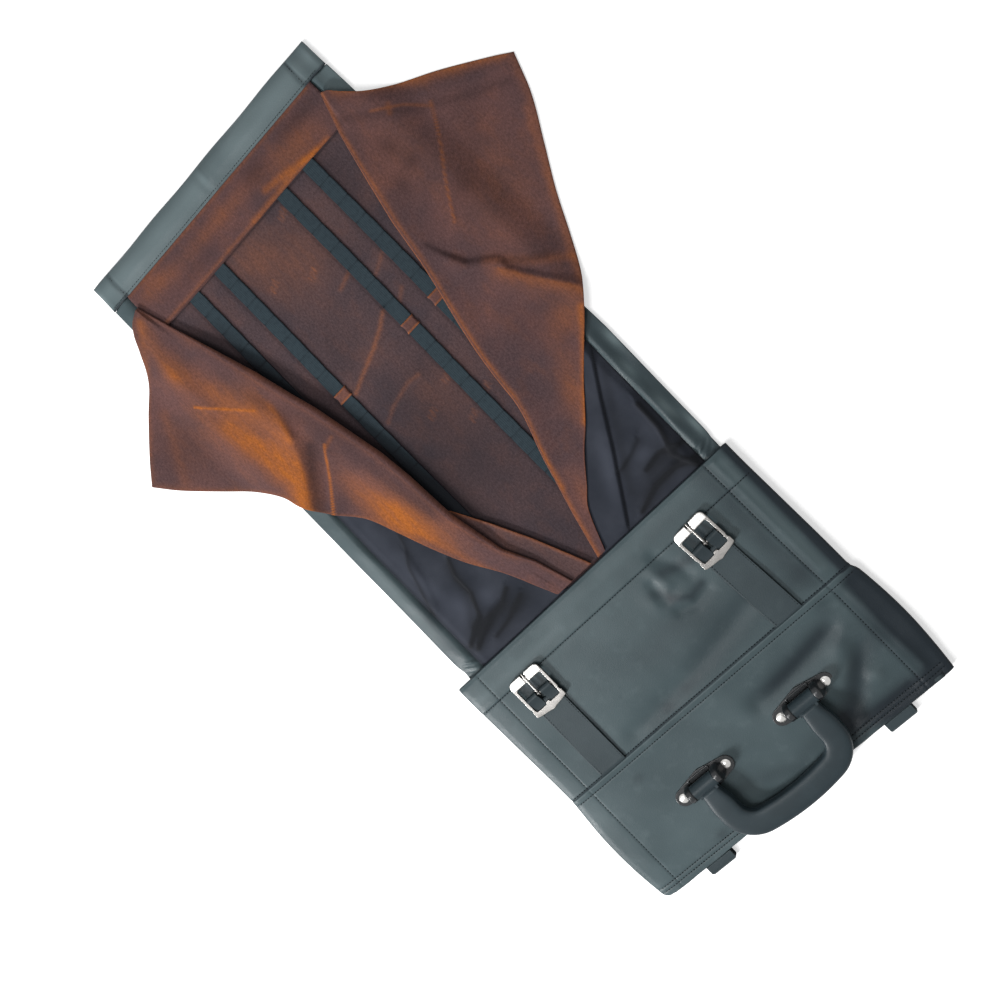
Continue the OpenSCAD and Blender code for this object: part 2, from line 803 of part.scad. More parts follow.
// Plan of the buckle frame about its centre bar
module buckle_plan() {
    half = strap_w / 2 + lay_gap;
    out = half + side_bar;
    low = -centre_bar_y;
    high = low + buckle_l;
    corner = buckle_corner_r;
    sag = low_bar_sag;
    bow_r = (out * out + sag * sag) / (2 * sag);
    difference() {
        union() {
            translate([-out, low + sag])
                square([2 * out, buckle_l - corner - sag]);
            translate([-out + corner, low + sag])
                square([2 * (out - corner), buckle_l - sag]);
            for (side = [-1, 1])
                translate([side * (out - corner), high - corner])
                    circle(corner);
            intersection() {
                translate([0, low + bow_r])
                    circle(bow_r, $fn = 96);
                translate([-out, low])
                    square([2 * out, sag + 1]);
            }
            translate([0, low + low_bar / 2])
                circle(low_bar * 0.68);
        }
        translate([-half, low + low_bar])
            square([2 * half, buckle_l - low_bar - top_bar]);
        for (side = [-1, 1])
            translate([side * (out + 0.2), low + low_bar + 3.5])
                square([2, 2.4], center = true);
    }
}

module buckle_frame(side) {
    high = buckle_l - centre_bar_y;
    notch_w = prong_w + 0.8;
    color(bright_metal) on_bench() at_strap(side)
        translate([0, strap_l, bar_z - buckle_t / 2])
            difference() {
                linear_extrude(buckle_t)
                    buckle_plan();
                translate([-notch_w / 2, high - top_bar - 1, buckle_t - prong_t])
                    cube([notch_w, top_bar + 2, prong_t + 1]);
            }
}

module buckle_bar(side) {
    color(bright_metal) on_bench() at_strap(side)
        translate([0, strap_l, bar_z])
            rotate([0, 90, 0])
                cylinder(r = centre_bar_r, h = strap_w + 2 * lay_gap, center = true);
}

// Prong: an eye on the centre bar and a tongue that rests in the frame's notch
module prong(side) {
    high = buckle_l - centre_bar_y;
    seat = buckle_t / 2 - prong_t + lay_gap;
    color(bright_metal) on_bench() at_strap(side)
        translate([-prong_w / 2, strap_l, bar_z])
            rotate([90, 0, 90])
                linear_extrude(prong_w)
                    difference() {
                        union() {
                            circle(bore_r + eye_wall);
                            translate([0, seat])
                                square([high, prong_t]);
                            translate([high, seat + prong_t / 2])
                                circle(prong_t / 2);
                        }
                        circle(bore_r);
                    }
}

back_shell();
back_lining();
back_hems();
wing_tail(-1, top_z);  // wing_tail_left
wing_tail(1, top_z + cloth_t);  // wing_tail_right
billet_strap(left_billet_x);  // billet_strap_left
billet_strap(right_billet_x);  // billet_strap_right
billet_end(left_billet_x);  // billet_end_left
billet_end(right_billet_x);  // billet_end_right
display_shell();
display_hems();
display_panel();
end_strip();
header_band();
elastic_upper(0);  // elastic_upper_1
elastic_upper(1);  // elastic_upper_2
elastic_upper(2);  // elastic_upper_3
elastic_upper(3);  // elastic_upper_4
elastic_lower(0);  // elastic_lower_1
elastic_lower(1);  // elastic_lower_2
elastic_lower(2);  // elastic_lower_3
elastic_lower(3);  // elastic_lower_4
bridge_tabs();
wing_under(-1);  // wing_under_left
wing_under(1);  // wing_under_right
wing_fold(-1, left_fold, left_lap);  // wing_fold_left
wing_fold(1, right_fold, []);  // wing_fold_right
wing(-1, left_edge, left_corner_row);  // wing_left
wing(1, right_edge, right_corner_row);  // wing_right
spine_panel();
spine_lining();
seam_welt();
handle_bracket(-1);  // handle_bracket_left
handle_bracket(1);  // handle_bracket_right
handle_pin(-1);  // handle_pin_left
handle_pin(1);  // handle_pin_right
bracket_rivets();
rivet_washers();
handle_grip();
grip_barrels();
flap_panel();
flap_lining();
flap_hem();
buckle_strap(-1);  // buckle_strap_left
buckle_strap(1);  // buckle_strap_right
buckle_frame(-1);  // buckle_frame_left
buckle_frame(1);  // buckle_frame_right
buckle_bar(-1);  // buckle_bar_left
buckle_bar(1);  // buckle_bar_right
prong(-1);  // prong_left
prong(1);  // prong_right
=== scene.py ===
import math

import bmesh
import bpy
import numpy as np
from mathutils import Matrix, Vector


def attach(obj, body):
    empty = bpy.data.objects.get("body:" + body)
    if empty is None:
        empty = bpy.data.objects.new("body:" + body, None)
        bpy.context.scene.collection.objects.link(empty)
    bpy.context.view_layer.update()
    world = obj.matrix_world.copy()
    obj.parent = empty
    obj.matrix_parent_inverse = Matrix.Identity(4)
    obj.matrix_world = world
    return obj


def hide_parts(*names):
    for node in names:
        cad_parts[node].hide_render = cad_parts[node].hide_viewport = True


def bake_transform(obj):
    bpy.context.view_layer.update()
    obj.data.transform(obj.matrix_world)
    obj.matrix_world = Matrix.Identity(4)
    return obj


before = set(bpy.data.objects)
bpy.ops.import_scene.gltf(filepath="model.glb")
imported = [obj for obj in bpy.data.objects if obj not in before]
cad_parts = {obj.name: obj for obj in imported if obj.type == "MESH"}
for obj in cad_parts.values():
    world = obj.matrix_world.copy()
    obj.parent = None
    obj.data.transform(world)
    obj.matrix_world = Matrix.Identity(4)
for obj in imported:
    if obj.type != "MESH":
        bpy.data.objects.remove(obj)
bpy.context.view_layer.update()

# ---------------------------------------------------------------- frame of the case
# Lengths are millimetres in the case's own frame until to_row(): X from the centre
# line, Y from the bottom fold, Z up from the bench. side is -1 for left, 1 for right.
MM = 0.001
MID_X, MID_Y = 8.518136, 411.2                   # origin of the row
SEAM_Y, FLAP_Y, DISPLAY_Y = 135.0, 295.0, 298.4  # spine's seam, flap's free edge, cross fold
WING_TOP, HEADER_TOP, END_Y = 788.0, 804.0, 835.0
TAPER_Y = 450.0                                  # the shell narrows from here to its end
COVER_Z, PANEL_Z, WING_Z = 13.4, 5.8, 9.2        # tops of cover, display and turned wings
HEM = 22.0
SIDES = ((-1, "left"), (1, "right"))


def to_row(p):
    return (np.asarray(p, float) - (MID_X, MID_Y, 0.0)) * MM


def at(x, y, z):
    return tuple(float(c) for c in to_row([x, y, z]))


CROSS_FOLD = ("case_back", "display", at(0, 287, 5), at(0, 301.5, 5))


def shell_x(side, y):
    """Side edge of the shell."""
    t = np.clip((y - TAPER_Y) / (END_Y - TAPER_Y), 0, None)
    return 3 - 5 * t + side * (344 - 22 * t) / 2


def seam_x(side, y):
    """Inner edge of the side hem."""
    return shell_x(side, y) - side * HEM


def crease_x(side, y):
    """Slanting line that a wing is turned on."""
    low, high = -32.0 if side < 0 else 24.0, seam_x(side, WING_TOP)
    return high + (low - high) * (WING_TOP - y) / (WING_TOP - DISPLAY_Y)


def down_y(down):
    """Y of a share of the way down the crease."""
    return WING_TOP + (DISPLAY_Y - WING_TOP) * down


# ---------------------------------------------------------------- forms of folds and marks
def smooth(t):
    t = np.clip(t, 0, 1)
    return t * t * (3 - 2 * t)


def bell(d, width):
    return np.exp(-(d / width) ** 2)


def nearest(x, y, path):
    """Distance in plan to a path, and the side of its heading (1 is left, -1 is right)."""
    best, hand = np.full(np.shape(x), 1e9), np.ones(np.shape(x))
    for (ax, ay), (bx, by) in zip(path[:-1], path[1:]):
        dx, dy = bx - ax, by - ay
        t = np.clip(((x - ax) * dx + (y - ay) * dy) / (dx * dx + dy * dy + 1e-9), 0, 1)
        d = np.hypot(x - ax - t * dx, y - ay - t * dy)
        hand = np.where(d < best, np.sign(dx * (y - ay) - dy * (x - ax)), hand)
        best = np.minimum(best, d)
    return best, hand


def stroke(x, y, width, path):
    return bell(nearest(x, y, path)[0], width)


def ridge(x, y, left, right, soft, path):
    """A fold: 1 on its crest, falling off over left or right mm on the sides of its heading."""
    best, hand = nearest(x, y, path)
    width = np.where(hand >= 0, left, right)
    return np.exp(-((np.sqrt(best ** 2 + soft ** 2) - soft) / width) ** 1.5)


def oval(x, y, cx, cy, rx, ry, turn=0.0):
    c, s = math.cos(math.radians(turn)), math.sin(math.radians(turn))
    u, v = (x - cx) * c + (y - cy) * s, -(x - cx) * s + (y - cy) * c
    return np.exp(-((u / rx) ** 2 + (v / ry) ** 2))


def painted(x, y, marks):
    """Sum of marks. Each starts with its strength or height. A stroke goes on with width and
    path, a fold with left, right, softness and path, an oval with centre, radii and turn."""
    total = np.zeros(np.shape(x))
    for strength, *form in marks:
        kind = oval if not isinstance(form[-1], list) else stroke if len(form) == 2 else ridge
        total += strength * kind(x, y, *form)
    return total


def ripple(x, y, size, seed, stretch=(1.0, 1.0)):
    """Smooth aimless waves between about -1 and 1."""
    rng = np.random.default_rng(seed)
    total = np.zeros(np.shape(x))
    for _ in range(6):
        a, k, p = rng.uniform(0, math.pi), rng.uniform(0.6, 1.5), rng.uniform(0, 6.28)
        along = x * math.cos(a) / stretch[0] + y * math.sin(a) / stretch[1]
        total += np.sin(2 * math.pi * k / size * along + p)
    return total / 3.2


def curve_through(points, count):
    """Catmull-Rom resampling of a list of points."""
    p = np.array(points, float)
    p = np.vstack([2 * p[0] - p[1], p, 2 * p[-1] - p[-2]])
    n = len(p) - 3
    out = []
    for t in np.linspace(0, n, count):
        k = min(int(t), n - 1)
        f = t - k
        a, b, c, d = p[k:k + 4]
        bends = (c - a) * f + (2 * a - 5 * b + 4 * c - d) * f * f + (3 * b - a - 3 * c + d) * f ** 3
        out.append(0.5 * (2 * b + bends))
    return np.array(out)


def rows(lo, hi, step, extra=()):
    """Stations from lo to hi; extra gives finer ones as (middle, half width, step)."""
    base = list(np.arange(lo, hi, step)) + [hi]
    for c, half, fine in extra:
        base += list(np.arange(c - half, c + half + 1e-6, fine))
    base = sorted(v for v in base if lo <= v <= hi)
    out = [base[0]]
    for v in base[1:]:
        if v - out[-1] > 0.35:
            out.append(v)
    return np.array(out)


def laid(ys, us, edge, out=0.0):
    """X and Y of rows at ys that run from side to side, out mm past an outline."""
    y, u = np.meshgrid(ys, us, indexing="ij")
    left, right = edge(-1, y) - out, edge(1, y) + out
    return left + (right - left) * u, y


def tints(wear_and_highlight, shade, darkest=1):
    """Marks of a mesh: worn spots and painted highlights lighten its material; dark seams and painted shade
    darken it.
    """
    return {"wear_and_highlight": np.clip(wear_and_highlight, 0, 1).ravel(), "shade": np.clip(shade, 0, darkest).ravel()}


# ---------------------------------------------------------------- meshes
def add_object(name, data):
    made = bpy.data.objects.new(name, data)
    bpy.context.scene.collection.objects.link(made)
    return made


def mesh_piece(name, verts, faces, mats, face_mats=None, marks=None):
    """A smooth closed mesh from millimetre points, with plan UVs in metres."""
    mesh = bpy.data.meshes.new(name)
    verts = np.asarray(verts, float)
    mesh.from_pydata(to_row(verts).tolist(), [], [list(map(int, f)) for f in faces])
    for m in mats:
        mesh.materials.append(m)
    if face_mats is not None:
        mesh.polygons.foreach_set("material_index", np.asarray(face_mats, np.int32))
    loops = np.zeros(len(mesh.loops), np.int32)
    mesh.loops.foreach_get("vertex_index", loops)
    uv = (verts[:, :2] + 0.6 * verts[:, 2:3])[loops] * MM
    mesh.uv_layers.new(name="UVMap").data.foreach_set("uv", uv.astype(np.float32).ravel())
    for key in ("wear_and_highlight", "shade"):
        values = (marks or {}).get(key, np.zeros(len(verts)))
        mesh.attributes.new(key, "FLOAT", "POINT").data.foreach_set("value", np.asarray(values, np.float32))
    mesh.polygons.foreach_set("use_smooth", [True] * len(mesh.polygons))
    bm = bmesh.new()
    bm.from_mesh(mesh)
    bmesh.ops.recalc_face_normals(bm, faces=bm.faces)
    bm.to_mesh(mesh)
    bm.free()
    mesh.update()
    return add_object(name, mesh)


def grid_faces(n, m, closed=False, first=0):
    """Quads over n rows of m points; closed joins the ends of each row."""
    k = np.arange(n * m).reshape(n, m) + first
    right = np.roll(k, -1, axis=1)
    if not closed:
        k, right = k[:, :-1], right[:, :-1]
    return np.stack([k[:-1], k[1:], right[1:], right[:-1]], 2).reshape(-1, 4)


def rim_of(n, m):
    """Indices of the border of a grid, once round."""
    rim = [(0, j) for j in range(m - 1)] + [(i, m - 1) for i in range(n - 1)]
    return np.array(rim + [(n - 1, j) for j in range(m - 1, 0, -1)] + [(i, 0) for i in range(n - 1, 0, -1)]).T


def sheet_piece(name, top, thick, mats, marks=None, bulge=0.5, bottom=None):
    """A sheet from a grid on its top face, with a rounded rim. mats: top, bottom, rim."""
    n, m, _ = top.shape
    normal = np.cross(np.gradient(top, axis=0), np.gradient(top, axis=1))
    normal /= np.linalg.norm(normal, axis=2, keepdims=True) + 1e-12
    if normal[..., 2].mean() < 0:
        normal = -normal
    low = top - normal * thick if bottom is None else bottom
    i, j = rim_of(n, m)
    out = 2 * top[i, j] - top[np.clip(i, 1, n - 2), j] - top[i, np.clip(j, 1, m - 2)]
    out /= np.linalg.norm(out, axis=1, keepdims=True) + 1e-9
    mid = (top[i, j] + low[i, j]) / 2 + out * thick * bulge
    verts = np.vstack([top.reshape(-1, 3), low.reshape(-1, 3), mid])
    count, rim = n * m, i * m + j
    edge = 2 * count + np.arange(len(rim))
    rim_next, edge_next = np.roll(rim, -1), np.roll(edge, -1)
    up = grid_faces(n, m)
    walls = np.stack([rim, rim_next, edge_next, edge, edge, edge_next, rim_next + count, rim + count],
                     1).reshape(-1, 4)
    a, b, c = verts[up[0, :3]]
    if np.cross(b - a, c - a) @ normal[0, 0] < 0:
        up = up[:, ::-1]
    else:
        walls = walls[:, ::-1]
    faces = np.vstack([up, up[:, ::-1] + count, walls])
    kinds = np.repeat([0, 1, 2], [len(up), len(up), len(walls)])
    full = {}
    for key, v in (marks or {}).items():
        v = np.ravel(v)
        full[key] = np.concatenate([v, v * 0.4, v[rim]])
    return mesh_piece(name, verts, faces, mats, kinds, full)


def lofted(name, g, mats, marks=None, closed=False, caps=True, base=False, face_mats=None):
    """A piece from rows of points; caps fill its end rows, base its underside."""
    n, m, _ = np.shape(g)
    k = np.arange(n * m).reshape(n, m)
    faces = list(grid_faces(n, m, closed)) + ([k[0], k[-1][::-1]] if caps else [])
    if base:
        faces.append(np.concatenate([k[::-1, 0], k[:, -1]]))
    return mesh_piece(name, np.reshape(g, (-1, 3)), faces, mats, face_mats, marks)


def directions(path):
    tangent = np.gradient(path, axis=0)
    return tangent / np.linalg.norm(tangent, axis=1, keepdims=True)


def dress(piece, slot, *stands_for, body=None, between=None):
    """Hides the CAD parts a piece stands for and attaches it to its body; with between, only its transform is
    baked. slot is not used.
    """
    if stands_for:
        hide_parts(*stands_for)
    if body:
        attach(piece, body)
    if between:
        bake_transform(piece)
    return piece


def add_stitches(name, runs, mat, body, pitch=3.2, size=(2.2, 0.5, 0.3)):
    """Rows of thread along runs of points. size: length, width and height of a stitch."""
    verts, faces = [], []
    for run in runs:
        run = np.asarray(run, float)
        s = np.concatenate([[0], np.cumsum(np.linalg.norm(np.diff(run, axis=0), axis=1))])
        for c in np.arange(pitch / 2, s[-1], pitch):
            ends = (-size[0] / 2, size[0] / 2)
            a, b = (np.array([np.interp(c + d, s, run[:, q]) for q in range(3)]) for d in ends)
            d = (b - a) / (np.linalg.norm(b - a) + 1e-9)
            w = np.array([-d[1], d[0], 0.0]) * size[1] / 2
            h = np.array([0, 0, size[2]])
            base = len(verts)
            verts.append(a - h * 0.4)
            for t in (0.25, 0.75):
                c0 = a + (b - a) * t
                verts += [c0 + w, c0 + h, c0 - w, c0 - h * 0.5]
            verts.append(b - h * 0.4)
            for q in range(4):
                near, near_next = base + 1 + q, base + 1 + (q + 1) % 4
                faces += [(base, near, near_next), (near, near + 4, near_next + 4, near_next),
                          (near + 4, base + 9, near_next + 4)]
    dress(mesh_piece(name, verts, faces, [mat]), "vinyl", body=body)


# ---------------------------------------------------------------- materials
class Tree:
    """A node tree. Values are numbers, colours or the outputs of other nodes."""

    def __init__(self, owner):
        owner.use_nodes = True
        self.owner, self.nodes, self.links = owner, owner.node_tree.nodes, owner.node_tree.links

    def feed(self, node, given):
        for key, value in given.items():
            socket = node.inputs[key]
            if isinstance(value, bpy.types.NodeSocket):
                self.links.new(value, socket)
            else:
                socket.default_value = (*value, 1) if socket.type == "RGBA" else value
        return node

    def add(self, kind, given=(), **settings):
        node = self.nodes.new(kind)
        for key, value in settings.items():
            setattr(node, key, value)
        return self.feed(node, dict(given))

    def plan(self):
        return self.add("ShaderNodeUVMap", uv_map="UVMap").outputs[0]

    def mark(self, name):
        return self.add("ShaderNodeAttribute", attribute_name=name).outputs["Fac"]

    def noise(self, source, scale, detail=3.0, rough=0.55, stretch=None):
        if stretch:
            source = self.add("ShaderNodeMapping", {"Vector": source, "Scale": stretch}).outputs["Vector"]
        given = {"Vector": source, "Scale": scale, "Detail": detail, "Roughness": rough}
        return self.add("ShaderNodeTexNoise", given).outputs["Fac"]

    def bands(self, source, direction, pitch, **given):
        """Fine ribs, pitch mm apart."""
        given = {"Vector": source, "Scale": 314.0 / pitch,
                 **{k.replace("_", " "): v for k, v in given.items()}}
        node = self.add("ShaderNodeTexWave", given, wave_type="BANDS", bands_direction=direction)
        return node.outputs["Fac"]

    def maths(self, kind, a, b, clamp=False):
        return self.add("ShaderNodeMath", {0: a, 1: b}, operation=kind, use_clamp=clamp).outputs[0]

    def span(self, value, a, b, c=0.0, d=1.0):
        given = {"Value": value, "From Min": a, "From Max": b, "To Min": c, "To Max": d}
        return self.add("ShaderNodeMapRange", given).outputs["Result"]

    def mix(self, factor, a, b, kind="MIX"):
        return self.add("ShaderNodeMix", {0: factor, 6: a, 7: b}, data_type="RGBA",
                        blend_type=kind).outputs[2]

    def surface(self, given, bumps=(), depth=0.0004):
        """Feeds the shader, with bumps of (height, strength), and returns the material."""
        for height, strength in bumps:
            bump = {"Strength": strength, "Distance": depth, "Height": height}
            if "Normal" in given:
                bump["Normal"] = given["Normal"]
            given["Normal"] = self.add("ShaderNodeBump", bump).outputs["Normal"]
        self.feed(self.nodes["Principled BSDF"], given)
        return self.owner

    def seen(self):
        """1 on the rays that see the white backdrop."""
        ray = self.add("ShaderNodeLightPath").outputs
        through = self.maths("MAXIMUM", ray["Is Glossy Ray"], ray["Is Transmission Ray"])
        return self.maths("MAXIMUM", ray["Is Camera Ray"], through)


def look(name):
    return Tree(bpy.data.materials.new(name))


def scaled(colour, share):
    return tuple(c * share for c in colour)


def vinyl_material(name, base, dark, light, rough):
    t = look(name)
    uv = t.plan()
    patch = t.noise(uv, 60)
    colour = t.mix(t.span(t.noise(uv, 14, 2), 0.35, 0.7), dark, base)
    colour = t.mix(t.span(patch, 0.55, 0.8, 0, 0.2), colour, light)
    # the wear mark brings worn spots and painted highlights, the shade mark dark seams and painted shade
    colour = t.mix(t.mark("wear_and_highlight"), colour, light)
    colour = t.mix(t.mark("shade"), colour, (dark[0] * 0.24, dark[1] * 0.25, dark[2] * 0.3))
    given = {"Base Color": colour, "Roughness": t.span(patch, 0.3, 0.75, rough - 0.05, rough + 0.07),
             "Specular IOR Level": 0.16}
    grain = t.add("ShaderNodeTexVoronoi", {"Vector": uv, "Scale": 1100}).outputs["Distance"]
    return t.surface(given, [(t.noise(uv, 110), 0.10), (grain, 0.22), (t.noise(uv, 2600, 2), 0.12)])


def cotton_material(name, base, dark, orange, sheen):
    """Brushed cotton: a napped face whose pile turns light and orange where it is stroked and where
    highlights are painted on; the shade mark paints shade.
    """
    t = look(name)
    uv = t.plan()
    patch = t.noise(uv, 48, 4, 0.6, (1.0, 0.55, 1.0))
    streak = t.noise(uv, 190, 3, 0.6, (1.0, 0.25, 1.0))
    fibre = t.noise(uv, 1500, 3, 0.7, (1.0, 0.45, 1.0))
    fleck = t.noise(uv, 520, 2, 0.6, (1.0, 0.6, 1.0))
    colour = t.mix(t.span(t.noise(uv, 16), 0.36, 0.66), dark, base)
    rub = t.maths("MULTIPLY", t.span(patch, 0.5, 0.85), 0.16)
    worn_and_lit = t.maths("MULTIPLY", t.mark("wear_and_highlight"), t.span(streak, 0.2, 0.7, 0.55, 1.15))
    colour = t.mix(t.maths("ADD", rub, worn_and_lit, True), colour, orange)
    colour = t.mix(t.mark("shade"), colour, scaled(dark, 0.35))
    level = t.maths("MULTIPLY", t.span(fibre, 0.25, 0.75, 0.72, 1.28), t.span(fleck, 0.3, 0.7, 0.8, 1.2))
    tone = t.add("ShaderNodeCombineColor", {q: level for q in range(3)}).outputs[0]
    given = {"Base Color": t.mix(1.0, colour, tone, "MULTIPLY"), "Roughness": 0.92,
             "Specular IOR Level": 0.12, "Sheen Weight": sheen, "Sheen Roughness": 0.45,
             "Sheen Tint": (0.85, 0.42, 0.30)}
    return t.surface(given, [(streak, 0.15), (fibre, 0.55)], 0.0005)


def weave_material(name, base, dark):
    t = look(name)
    uv = t.plan()
    fine = t.noise(uv, 900, 2)
    ribs = [t.bands(uv, way, 0.7, Distortion=0.4, Detail=1, Detail_Scale=30) for way in "XY"]
    cloth = t.maths("MULTIPLY", *ribs)
    colour = t.mix(t.span(t.noise(uv, 22), 0.35, 0.7), dark, base)
    colour = t.mix(t.maths("MULTIPLY", fine, 0.35), colour, dark)
    # painted highlights lighten the black cloth and painted shade darkens it
    colour = t.mix(t.mark("wear_and_highlight"), colour, scaled(base, 1.9))
    colour = t.mix(t.mark("shade"), colour, scaled(dark, 0.3))
    given = {"Base Color": colour, "Roughness": 0.85, "Specular IOR Level": 0.2,
             "Sheen Weight": 0.1, "Sheen Roughness": 0.4}
    return t.surface(given, [(cloth, 0.35), (fine, 0.2)], 0.0003)


def elastic_material(name):
    t = look(name)
    uv = t.plan()
    rib, cord = t.bands(uv, "Y", 1.3, Distortion=0.15), t.bands(uv, "X", 1.9)
    fine = t.maths("MULTIPLY", t.noise(uv, 1500, 2), 0.5)
    tone = t.maths("ADD", t.maths("MULTIPLY", rib, 0.5), fine)
    colour = t.mix(tone, (0.015, 0.024, 0.031), (0.034, 0.051, 0.061))
    colour = t.mix(t.span(t.noise(uv, 240), 0.45, 0.75, 0, 0.6), colour, (0.013, 0.020, 0.026))
    # painted shade and dark stitching lines darken the bands
    colour = t.mix(t.mark("shade"), colour, (0.003, 0.004, 0.006))
    given = {"Base Color": colour, "Roughness": 0.75, "Specular IOR Level": 0.12}
    return t.surface(given, [(rib, 0.4), (cord, 0.2)])


def hard_material(name, base, rough, metallic=0.0, grain=0.0, scale=900, spread=0.1, coat=0.0, spec=0.5,
                  tone=0.25):
    """Metal, moulding or thread: its tone and grain go by position."""
    t = look(name)
    pos = t.add("ShaderNodeTexCoord").outputs["Object"]
    fine = t.noise(pos, scale)
    colour = t.mix(t.span(t.noise(pos, 55), 0.35, 0.7), scaled(base, 1 - tone), base)
    given = {"Base Color": colour, "Metallic": metallic, "Specular IOR Level": spec, "Coat Weight": coat,
             "Coat Roughness": 0.15, "Roughness": t.span(fine, 0.3, 0.75, rough - spread / 2, rough + spread)}
    return t.surface(given, [(fine, grain)] if grain else [])


PLATED = {"metallic": 1.0, "scale": 260, "spread": 0.02}
VINYL = vinyl_material("vinyl", (0.057, 0.081, 0.088), (0.040, 0.059, 0.065), (0.118, 0.153, 0.161), 0.37)
VINYL_EDGE = vinyl_material("vinyl_edge", (0.034, 0.048, 0.054), (0.025, 0.036, 0.041), (0.065, 0.086, 0.092),
                            0.42)
BLACK = weave_material("black_lining", (0.031, 0.035, 0.047), (0.014, 0.017, 0.025))
BROWN = cotton_material("brushed_cotton", (0.106, 0.053, 0.050), (0.066, 0.040, 0.043), (0.31, 0.094, 0.020),
                        0.11)
BROWN_DARK = cotton_material("brushed_cotton_panel", (0.074, 0.046, 0.048), (0.047, 0.035, 0.041),
                             (0.24, 0.086, 0.040), 0.10)
ELASTIC = elastic_material("woven_elastic")
CHROME = hard_material("plated_metal", (0.22, 0.212, 0.203), 0.3, **PLATED)
# a brighter copy of the plating, as painted reflection on the buckles' raised blocks and the rivet domes
CHROME_PAINTED_BRIGHT = hard_material("plated_metal_painted_bright", (0.60, 0.59, 0.57), 0.27, tone=0.1, **PLATED)
# a darker copy of the plating, as painted shade on the walls of the buckle parts
CHROME_PAINTED_DARK = hard_material("plated_metal_painted_dark", (0.07, 0.07, 0.07), 0.3, tone=0.2, **PLATED)
BLACK_METAL = hard_material("black_metal", (0.010, 0.012, 0.014), 0.3, coat=0.1, spec=0.4)
GRIP = hard_material("moulded_grip", (0.017, 0.028, 0.034), 0.42, grain=0.25, scale=1500, spread=0.08,
                     spec=0.22, tone=0.18)
THREAD = hard_material("thread", (0.006, 0.009, 0.010), 0.7, scale=2500, spec=0.1)
THREAD_PALE = hard_material("thread_pale", (0.16, 0.17, 0.18), 0.6, grain=0.3, scale=2500)
# near-black painted shade for the edges of the straps and billets
EDGE_PAINTED_SHADE = hard_material("edge_painted_shade", (0.010, 0.014, 0.016), 0.6, spec=0.12)


# ---------------------------------------------------------------- relief and marks of the flat parts
BANDS = [(-91.5, 1), (-53.5, 2), (44.5, 3), (82.5, 4)]
HEM_STITCH, LEFT_STITCH, RIGHT_STITCH = 260.7, -157.3, 152.5


def across(y, far=190):
    return [(-far, y), (far, y)]


def moved(path, dx, dy):
    return [(x + dx, y + dy) for x, y in path]


def grid(x, y, z):
    return np.stack(np.broadcast_arrays(x, y, z), 2)


PANEL_CREASE = [(34, 609), (20, 600), (1, 591), (-24, 582), (-43, 574)]
PANEL_RELIEF = [
    (1.5, 3.5, 7, 0.8, PANEL_CREASE),
    (1.1, 3.5, 6, 0.8, [(16, 543), (2, 545), (-10, 543), (-25, 539), (-40, 532)]),
    (0.7, 3, 5, 1.2, [(64, 613), (48, 601)]), (0.7, 3, 5, 1.2, [(75, 649), (55, 638)]),
    (0.6, 3, 5, 1.2, [(39, 660), (19, 653)]), (0.6, 3, 5, 1.2, [(-20, 640), (-34, 622)]),
    (-0.7, 4, [(-120, 585), (-60, 583), (0, 584), (60, 581), (110, 582)])]


def panel_top(x, y):
    edge = np.minimum(x - seam_x(-1, y), seam_x(1, y) - x)
    return PANEL_Z - 0.15 + 0.28 * ripple(x, y, 70, 3) + painted(x, y, PANEL_RELIEF) - 0.5 * bell(edge, 3.0)


def cover_side(side, y):
    """Left or right edge of the cover in plan. Its lower left corner is rounded."""
    spine = 3 + side * (182 + 4.5 * np.sin(math.pi * np.clip((y - 1.0) / 134.0, 0, 1)))
    flap = 1.5 - 3 * smooth((y - SEAM_Y) / (FLAP_Y - SEAM_Y)) + side * 180.5
    corner = 7.0 * (1 - np.sqrt(1 - np.clip((8.0 - y) / 7.2, 0, 1) ** 2)) if side < 0 else 0.0
    return spine + (flap - spine) * smooth((y - 126) / 14) + corner


LEFT_SEAM = [(LEFT_STITCH, 1), (LEFT_STITCH, 296)]
RIGHT_SEAM = [(155.5, 1), (155, 130), (RIGHT_STITCH, 200), (151, 296)]
# valleys of the loose folds at the right end of the spine, from the seam down; shade is also painted along
# them
FOLD_A = [(129, 101), (109, 98), (87, 95), (65, 92), (45, 91), (29, 92)]
FOLD_B = [(136, 74), (120, 54), (102, 36), (82, 27)]
FOLD_C = [(77, 20), (100, 14), (122, 12), (144, 12)]
COVER_RELIEF = [
    (0.8, 3.5, [(160, 290), (162, 150)]), (0.75, 1.0, 5.0, 0.3, across(134.6)), (-0.9, 0.9, across(136.4)),
    (-0.3, 1.2, across(HEM_STITCH)), (-0.3, 1.2, LEFT_SEAM), (-0.3, 1.2, RIGHT_SEAM),
    (-0.35, 1.1, across(129)), (-0.3, 1.1, across(12)), (-0.3, 1.1, across(7)),
    (-1.5, 10, [(95, 172), (63, 166), (15, 158), (-39, 152), (-80, 148)]),
    (0.35, 16, [(80, 195), (0, 185), (-70, 180)]), (0.9, -60, 215, 70, 34), (0.5, -20, 60, 60, 30),
    # soft dents near the right buckle
    (-1.6, 7, [(56, 262), (66, 246), (69, 231)]), (1.0, 6, [(44, 252), (48, 234)]),
    (-1.5, 6, [(36, 243), (34, 226)]), (1.2, 52, 218, 11, 7), (0.7, 26, 228, 9, 12),
    (-1.4, 6, [(38, 208), (52, 203), (72, 207)])]
SPINE_RELIEF = [
    (2.2, 13, [(134, 92), (114, 68), (90, 58)]), (-2.4, 10, FOLD_A), (-2.0, 10, FOLD_B), (-1.2, 9, FOLD_C),
    (2.0, 128, 43, 8, 9, 20), (-1.0, 8, [(160, 118), (166, 60)])]


